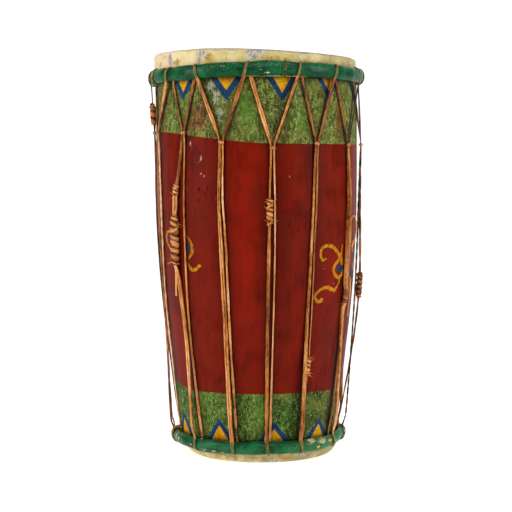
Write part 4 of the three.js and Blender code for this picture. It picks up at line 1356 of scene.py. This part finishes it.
def windKnot(sweeper, knot, start, end, seed):  # a strap wound round the joined ends, with loose fibres
    dice = random.Random(seed)
    axis = end - start
    length = float(np.linalg.norm(axis))
    axis = axis / length
    outward = start * [1, 1, 0]
    outward = outward / np.linalg.norm(outward)
    across = np.cross(axis, outward)
    across /= np.linalg.norm(across)
    outward = np.cross(across, axis)
    strap = length / knot["turns"] * winding["cover"]
    thickness = winding["thickness"]

    def turnPoint(share, spin, size):
        tuck = 0.78 + 0.22 * math.sin(math.pi * min(max(share, 0), 1)) ** 0.5
        a = (knot["halfWidth"] - thickness / 2) * tuck * size
        b = (knot["halfDepth"] - thickness / 2) * tuck * size
        out = across * math.cos(spin) * a + outward * math.sin(spin) * b
        return start + axis * length * share + out, out / np.linalg.norm(out)

    def wind(fromShare, toShare, winds, hand, width, tone, bulge):
        strip, facing = Strip(), []
        phase = dice.uniform(0, 6)
        steps = max(int(abs(winds) * winding["stepsPerTurn"]), 8)
        for i in range(steps + 1):
            share = i / steps
            slide = 0.35 * math.sin(share * winds * 4.1 + phase) / max(winds, 1) * 0.4
            spin = phase + hand * 2 * math.pi * winds * share
            size = bulge * (1 + 0.05 * math.sin(share * 19 + phase))
            point, out = turnPoint(mix(fromShare, toShare, share) + slide * 0.5, spin, size)
            ends = min(1, 0.4 + 5 * min(share, 1 - share))
            wide = width * ends * (1 + 0.12 * math.sin(share * 23 + phase))
            strip.add(point, wide, thickness, tone + 0.1 * math.sin(share * 11 + phase), 0.05)
            facing.append(out)
        rows = np.array(strip.rows)
        gaps = np.linalg.norm(np.diff(rows[:, :3], axis=0), axis=1)
        at = np.concatenate([[0], np.cumsum(gaps)]) + seed * 31
        sweeper.sweep(rows, at, strapSection, strapCreaseShade, np.array(facing))

    wind(0.02, 0.98, knot["turns"], 1, strap, knot["tone"], 1)
    wind(0.0, 0.3, 0.8, -1, strap * 0.55, knot["tone"] + 0.05, 1.2)
    wind(0.8, 1.0, 0.7, -1, strap * 0.5, knot["tone"], 1.18)
    # the joined ends inside the winding, toned dark (0.1) as painted shade in the gaps between the turns
    core = Strip()
    for share in (0.0, 0.5, 1.0):
        core.add(start + axis * length * share, knot["halfWidth"] * 1.3, knot["halfDepth"] * 1.2, 0.1)
    rows, at = core.evened(4)
    sweeper.sweep(rows, at, roundSection, roundCreaseShade)
    for _ in range(knot["fibres"]):
        share = dice.choice([dice.uniform(-0.02, 0.15), dice.uniform(0.85, 1.02), dice.uniform(0, 1)])
        anywhere = dice.random() < 0.3
        spin = dice.uniform(0, 2 * math.pi) if anywhere else dice.choice([0.2, 2.9, 3.6, 5.9])
        point, out = turnPoint(share, spin, 0.9)
        fibre(sweeper, point, out + axis * dice.uniform(-1.2, 1.2), dice.uniform(4, 9), knot["tone"], dice)


def fibre(sweeper, point, direction, length, tone, dice):  # one short curling fibre
    direction = direction / np.linalg.norm(direction)
    bend = np.array([dice.uniform(-1, 1) for _ in range(3)])
    strip = Strip()
    for i in range(6):
        share = i / 5
        place = point + direction * length * share + bend * length * 0.3 * share ** 2
        strip.add(place, 0.9 * (1 - 0.8 * share), 0.7 * (1 - 0.8 * share), tone + 0.1)
    rows, at = strip.evened(1.2, 1)
    sweeper.sweep(rows, at, roundSection[::2], roundCreaseShade[::2])


# Loose parts of the lacing: stations of (angle, height, width), how far they stand off the body, and
# the strip itself.
looseParts = {
    "eye": {"opening": [(404, 0.3), (393, 0.7), (384, 1), (372, 1), (362, 0.6), (352, 0.2)],
            "middle": ([-385, -312], [-50.2, -52.7]), "strands": [(-1.2, 5, 0.56), (1.6, 2.4, 0.6)],
            "off": 4.4, "thickness": 1.8, "step": 3},
    "tail": {"stations": [(-52.4, 292, 4), (-53.4, 284, 5.4), (-53.8, 274, 5.2), (-54.2, 262, 4.4),
                          (-55, 250, 3.6), (-55.2, 243, 4.8)],
             "off": 1.8, "thickness": 1.5, "tone": 0.62, "step": 3},
    "sideLoop": {"stations": [(64.5, 356, 3), (67.1, 360.5, 3), (70.7, 359.5, 3), (74.2, 350.3, 3),
                              (75, 339.7, 3), (71.8, 325.1, 3), (69, 319, 3), (66, 315, 3)],
                 "off": 3.6, "thickness": 2.2, "tone": 0.66, "step": 2.5},
    "hanging": {"stations": [(67.5, 262, 3), (69.6, 254, 3), (69.2, 242, 3), (68.8, 227.8, 3),
                             (68.2, 217.5, 3), (69.5, 210, 3)],
                "off": 3, "thickness": 2, "tone": 0.6, "step": 2.5},
}
upperKnotSeed = 55


def addLoose(sweeper, part, stations, tone):
    strip = Strip()
    for degrees, z, width in stations:
        strip.add(spot(degrees, bodyRadius(z) + part["off"], z), width, part["thickness"], tone)
    rows, at = strip.evened(part["step"])
    sweeper.sweep(rows, at, foldedSection, foldedCreaseShade)


def addExtras(sweeper, number):
    names = []
    if number == 8:  # the small knot above the long coil, the eye of two strands and the loose end
        points = dict(strandPoints(upperKnot["pair"], upperKnot["side"]))
        windKnot(sweeper, upperKnot, points[upperKnot["top"]], points[upperKnot["bottom"]], upperKnotSeed)
        eye = looseParts["eye"]
        for shift, width, tone in eye["strands"]:
            stations = [(float(np.interp(-z, *eye["middle"])) + shift * share, z, width)
                        for z, share in eye["opening"]]
            addLoose(sweeper, eye, stations, tone)
        names = ["tail"]
    if number == 3:  # a thin side loop and an end that hangs beside the thick strand
        names = ["sideLoop", "hanging"]
    for name in names:
        part = looseParts[name]
        addLoose(sweeper, part, part["stations"], part["tone"])


def makeThongs():
    route = lacingRoute()
    marks = [i for i, entry in enumerate(route) if isinstance(entry, dict)]
    for order, mark in enumerate(marks):
        following = marks[(order + 1) % len(marks)]
        between = route[mark + 1:following] if following > mark else route[mark + 1:] + route[:following]
        knot, start, end = (route[following][key] for key in ("knot", "from", "to"))
        sweeper = Sweeper()
        strip = Strip()
        for point, width, thickness, tone, blush, paint, roll in between:
            strip.add(point, width, thickness, tone, blush, paint, roll)
        last = between[-1]
        strip.add(start + (end - start) * 0.6, last[1] * 0.7, last[2], last[3], last[4], 0, last[6])
        rows, at = strip.evened(lacing["step"])
        sweeper.sweep(rows, at + order * 977, foldedSection, foldedCreaseShade)
        windKnot(sweeper, knot, start, end, order + 1)
        number = order + 1
        addExtras(sweeper, number)
        thong = sweeper.finished("thong")
        settle(thong, f"thong{number}", thongMaterial(), [f"lace_{number}"], sharpAngle=50)


@functools.cache
def thongMaterial():
    material, wire = newMaterial("hideThong")
    place = wire.node("TexCoord", out=3).scaled(1000, 1000, 1000)
    along, crease = wire.attribute("along"), wire.attribute("crease")
    tone, blush, paint = wire.attribute("tone"), wire.attribute("blush"), wire.attribute("paint")
    across = wire.attribute("across")
    drawnPlace = wire.node("CombineXYZ", None, {0: along * 0.035, 1: across * 0.6, 2: tone * 20})
    drawn = drawnPlace.grain(1.0, 3, 0.55)
    fibrePlace = wire.node("CombineXYZ", None, {0: along * 0.08, 1: across, 2: tone * 9})
    fibres = fibrePlace.grain(0.8, 3, 0.6)
    mottle = place.grain(5, 3, 0.6)
    # the crease shade paints shade on the strips' edges, backs and folds and a painted highlight on their
    # crowns; it also lowers the bump in the fold
    shade = tone + 0.1 + (drawn - 0.5) * 0.75 + (fibres - 0.5) * 0.9 + (mottle - 0.5) * 0.25 - crease * 0.24
    stops = [(0.0, rgb(30, 12, 3)), (0.25, rgb(108, 54, 16)), (0.5, rgb(180, 108, 42)),
             (0.72, rgb(218, 152, 86)), (1.0, rgb(248, 208, 168))]
    colour = wire.node("ValToRGB", {"stops": stops}, {"Fac": shade})
    colour = (blush * mottle.smooth(0.3, 0.6) * 0.7).over(colour, rgb(140, 66, 44))
    painted = (paint + (mottle - 0.5) * 1.5 + (fibres - 0.5) * 0.5).smooth(0.3, 0.6)
    colour = (painted * 0.85).over(colour, fibres.smooth(0.4, 0.65).over(rgb(34, 66, 26), rgb(122, 126, 60)))
    colour = ((fibres * 0.5 + drawn * 0.5).smooth(0.6, 0.72) * 0.4).over(colour, rgb(92, 52, 22))
    height = fibres * 0.5 + drawn * 0.5 - crease * 0.2
    closeMaterial(wire, {"Specular IOR Level": 0.2}, colour, 0.42 + (mottle - 0.5) * 0.2, height, 0.35)
    return material


# Ties

tieShape = {"cord": 1.1, "turns": 3, "room": 0.2}


def makeTie(index):
    pair = pairs[index]
    dice = random.Random(40 + index)
    radius = tieRadius(pair)
    middle = spot(pair["tie"], radius, pair["tieZ"])
    outward = spot(pair["tie"], 1, 0) * [1, 1, 0]
    sideways = np.array([-outward[1], outward[0], 0])
    upwards = np.array([0, 0, 1.0])
    look = pairLook(index)
    apart = radius * math.radians(lacing["halfGap"])
    held = [min(look[side][0][0], lacing["tieWidth"]) for side in ("left", "right")]
    halfWide = apart + (held[0] + held[1]) / 4 + tieShape["room"]
    halfDeep = 1.1 + tieShape["room"] + tieShape["cord"] / 2
    sweeper = Sweeper()
    tone = dice.uniform(0.4, 0.65)

    def loopStrip(turns, low, high, wide, deep, cord, plane):
        strip, facing = Strip(), []
        phase = dice.uniform(0, 6)
        for i in range(int(turns * 14) + 1):
            share = i / (turns * 14)
            spin = phase + 2 * math.pi * turns * share
            rise = mix(low, high, share) + 0.3 * math.sin(share * 13 + phase)
            if plane == "level":
                out = sideways * math.cos(spin) * wide + outward * math.sin(spin) * deep
                point = middle + out + upwards * rise
            else:
                out = upwards * math.cos(spin) * wide + outward * math.sin(spin) * deep
                point = middle + out + sideways * rise
            strip.add(point, cord, cord * 0.85, tone + 0.1 * math.sin(i))
            facing.append(out / np.linalg.norm(out))
        rows = np.array(strip.rows)
        at = np.linspace(0, turns * 20, len(rows)) + index * 50
        sweeper.sweep(rows, at, roundSection, roundCreaseShade, np.array(facing))

    loopStrip(tieShape["turns"], -1.5, 1.5, halfWide, halfDeep, tieShape["cord"], "level")
    loopStrip(1.6, -0.4, 0.6, 2.3, halfDeep + 0.9, tieShape["cord"] * 0.9, "upright")
    for side in (-1, 1):
        start = middle + outward * (halfDeep + 0.8) + sideways * side * 0.6
        direction = (sideways * side * dice.uniform(0.6, 1.4) + upwards * dice.uniform(-0.8, 0.4)
                     + outward * 0.4)
        fibre(sweeper, start, direction, dice.uniform(3.5, 6.5), tone, dice)
    name = f"tie{index + 1:02d}"
    node = f"lace_tie_{index + 1:02d}"
    return settle(sweeper.finished(name), name, thongMaterial(), [node], sharpAngle=60)


# Bindings wound round the hoops: hoop, angle, turns, cord width, tone, paint and slant

bindings = [
    ("upper", 90, 5, 2.6, 0.3, 0.75, 9.0), ("upper", -88, 3, 2.2, 0.4, 0.5, 5.0),
    ("upper", -72.5, 2, 2.8, 0.7, 0.8, 3.0), ("upper", 14.6, 2, 1.5, 0.2, 0.8, 2.0),
    ("lower", -86, 6, 2.4, 0.5, 0.35, 9.0), ("lower", 86, 3, 2.0, 0.4, 0.7, 4.0),
    ("upper", 190, 3, 2.0, 0.6, 0.6, 4.0), ("lower", 176, 2, 2.0, 0.6, 0.6, 3.0),
]


def makeBindings():
    sweeper = Sweeper()
    for number, (which, angle, turns, cord, tone, paint, span) in enumerate(bindings):
        hoop = hoopShape[which]
        dice = random.Random(number + 70)
        strip, facing = Strip(), []
        steps = turns * 22
        for i in range(steps + 1):
            share = i / steps
            spin = 2 * math.pi * turns * share + 2.4
            reach = hoop["outward"] if math.cos(spin) > 0 else hoop["inward"]
            radius = hoop["middle"] + (reach + cord * 0.35) * math.cos(spin)
            z = hoop["centreZ"] + (hoop["halfHeight"] + cord * 0.35) * math.sin(spin)
            degrees = angle + mix(-0.5, 0.5, share) * span + 0.25 * math.sin(spin * 0.5 + number)
            shade = tone + 0.15 * math.sin(i * 0.4)
            painted = paint * dice.uniform(0.6, 1.2)
            strip.add(spot(degrees, radius, z), cord, cord * 0.75, shade, 0, painted)
            upwards = np.array([0, 0, math.sin(spin) * hoop["halfHeight"]])
            out = spot(degrees, math.cos(spin) * reach, 0) * [1, 1, 0] + upwards
            facing.append(out / np.linalg.norm(out))
        rows = np.array(strip.rows)
        at = np.linspace(0, steps * 2.5, len(rows)) + number * 90
        sweeper.sweep(rows, at, foldedSection, foldedCreaseShade, np.array(facing))
    return settle(sweeper.finished("bindings"), "hoopBindings", thongMaterial(), sharpAngle=50)


# Studio

studio = {
    "floorHalf": 4.0, "wallDistance": 2.6, "wallHeight": 4.2, "bend": 1.2,
    "ambient": 0.16, "floorGlow": 0.62,
    "lamps": [  # side angle, height, distance, width, tall, watts
        (-66, 0.95, 1.9, 0.6, 1.4, 21), (66, 0.95, 1.9, 0.6, 1.4, 19), (8, 1.9, 2.2, 1.6, 0.8, 22),
    ],
}


def makeStudio():
    deselect()
    bpy.ops.mesh.primitive_plane_add(size=2, location=(0, 0, 0))
    floor = bpy.context.object
    bpy.ops.object.mode_set(mode="EDIT")
    bpy.ops.mesh.select_mode(type="EDGE")
    bpy.ops.transform.resize(value=(studio["floorHalf"], studio["wallDistance"], 1))
    bpy.ops.mesh.select_all(action="DESELECT")
    grid = bmesh.from_edit_mesh(floor.data)
    for edge in grid.edges:
        edge.select_set(all(vertex.co.y > 0 for vertex in edge.verts))
    steps = 14
    for i in range(steps):  # the floor curves up into the wall behind
        turn = math.radians((i + 0.5) * 90 / steps)
        length = studio["bend"] * math.pi / 2 / steps
        step = (0, length * math.cos(turn), length * math.sin(turn))
        bpy.ops.mesh.extrude_region_move(TRANSFORM_OT_translate={"value": step})
    bpy.ops.mesh.extrude_region_move(TRANSFORM_OT_translate={"value": (0, 0, studio["wallHeight"])})
    bpy.ops.object.mode_set(mode="OBJECT")
    bpy.ops.object.shade_smooth()
    floor.name = "studioFloor"
    material, wire = newMaterial("whiteSweep")
    shader = wire.node("BsdfPrincipled", None, {
        "Base Color": (0.9, 0.9, 0.9, 1), "Roughness": 0.9, "Specular IOR Level": 0.1,
        "Emission Color": (1, 1, 1, 1), "Emission Strength": studio["floorGlow"]})
    wire.node("OutputMaterial", None, {"Surface": shader})
    floor.data.materials.append(material)

    world = bpy.data.worlds.new("studioWorld")
    bpy.context.scene.world = world
    world.use_nodes = True
    world.node_tree.nodes["Background"].inputs["Color"].default_value = (1, 1, 1, 1)
    world.node_tree.nodes["Background"].inputs["Strength"].default_value = studio["ambient"]
    for side, height, distance, wide, tall, watts in studio["lamps"]:
        turn = math.radians(side)
        place = Vector((distance * math.sin(turn), -distance * math.cos(turn), height))
        aim = (Vector((0, 0, 0.3)) - place).to_track_quat("-Z", "Y").to_euler()
        bpy.ops.object.light_add(type="AREA", location=place, rotation=aim)
        lamp = bpy.context.object
        lamp.name = "softBox"
        lamp.data.shape = "RECTANGLE"
        lamp.data.size = wide
        lamp.data.size_y = tall
        lamp.data.energy = watts
    bpy.context.scene.view_settings.view_transform = "Standard"
    print("studio lit")


makeBody()
makeSkin("upper", "topSkin", "top_head")
makeSkin("lower", "bottomSkin", "bottom_head")
topPinches = [pair["loop"] for pair in pairs] + [pair["loop"] + lacing["sidestep"] for pair in pairs]
footPinches = [pair["middles"][3] for pair in pairs]
makeHoop("upper", "topHoop", "top_hoop", topPinches)
makeHoop("lower", "bottomHoop", "bottom_hoop", footPinches)
makeThongs()
for tieIndex in range(len(pairs)):
    makeTie(tieIndex)
makeBindings()
makeStudio()
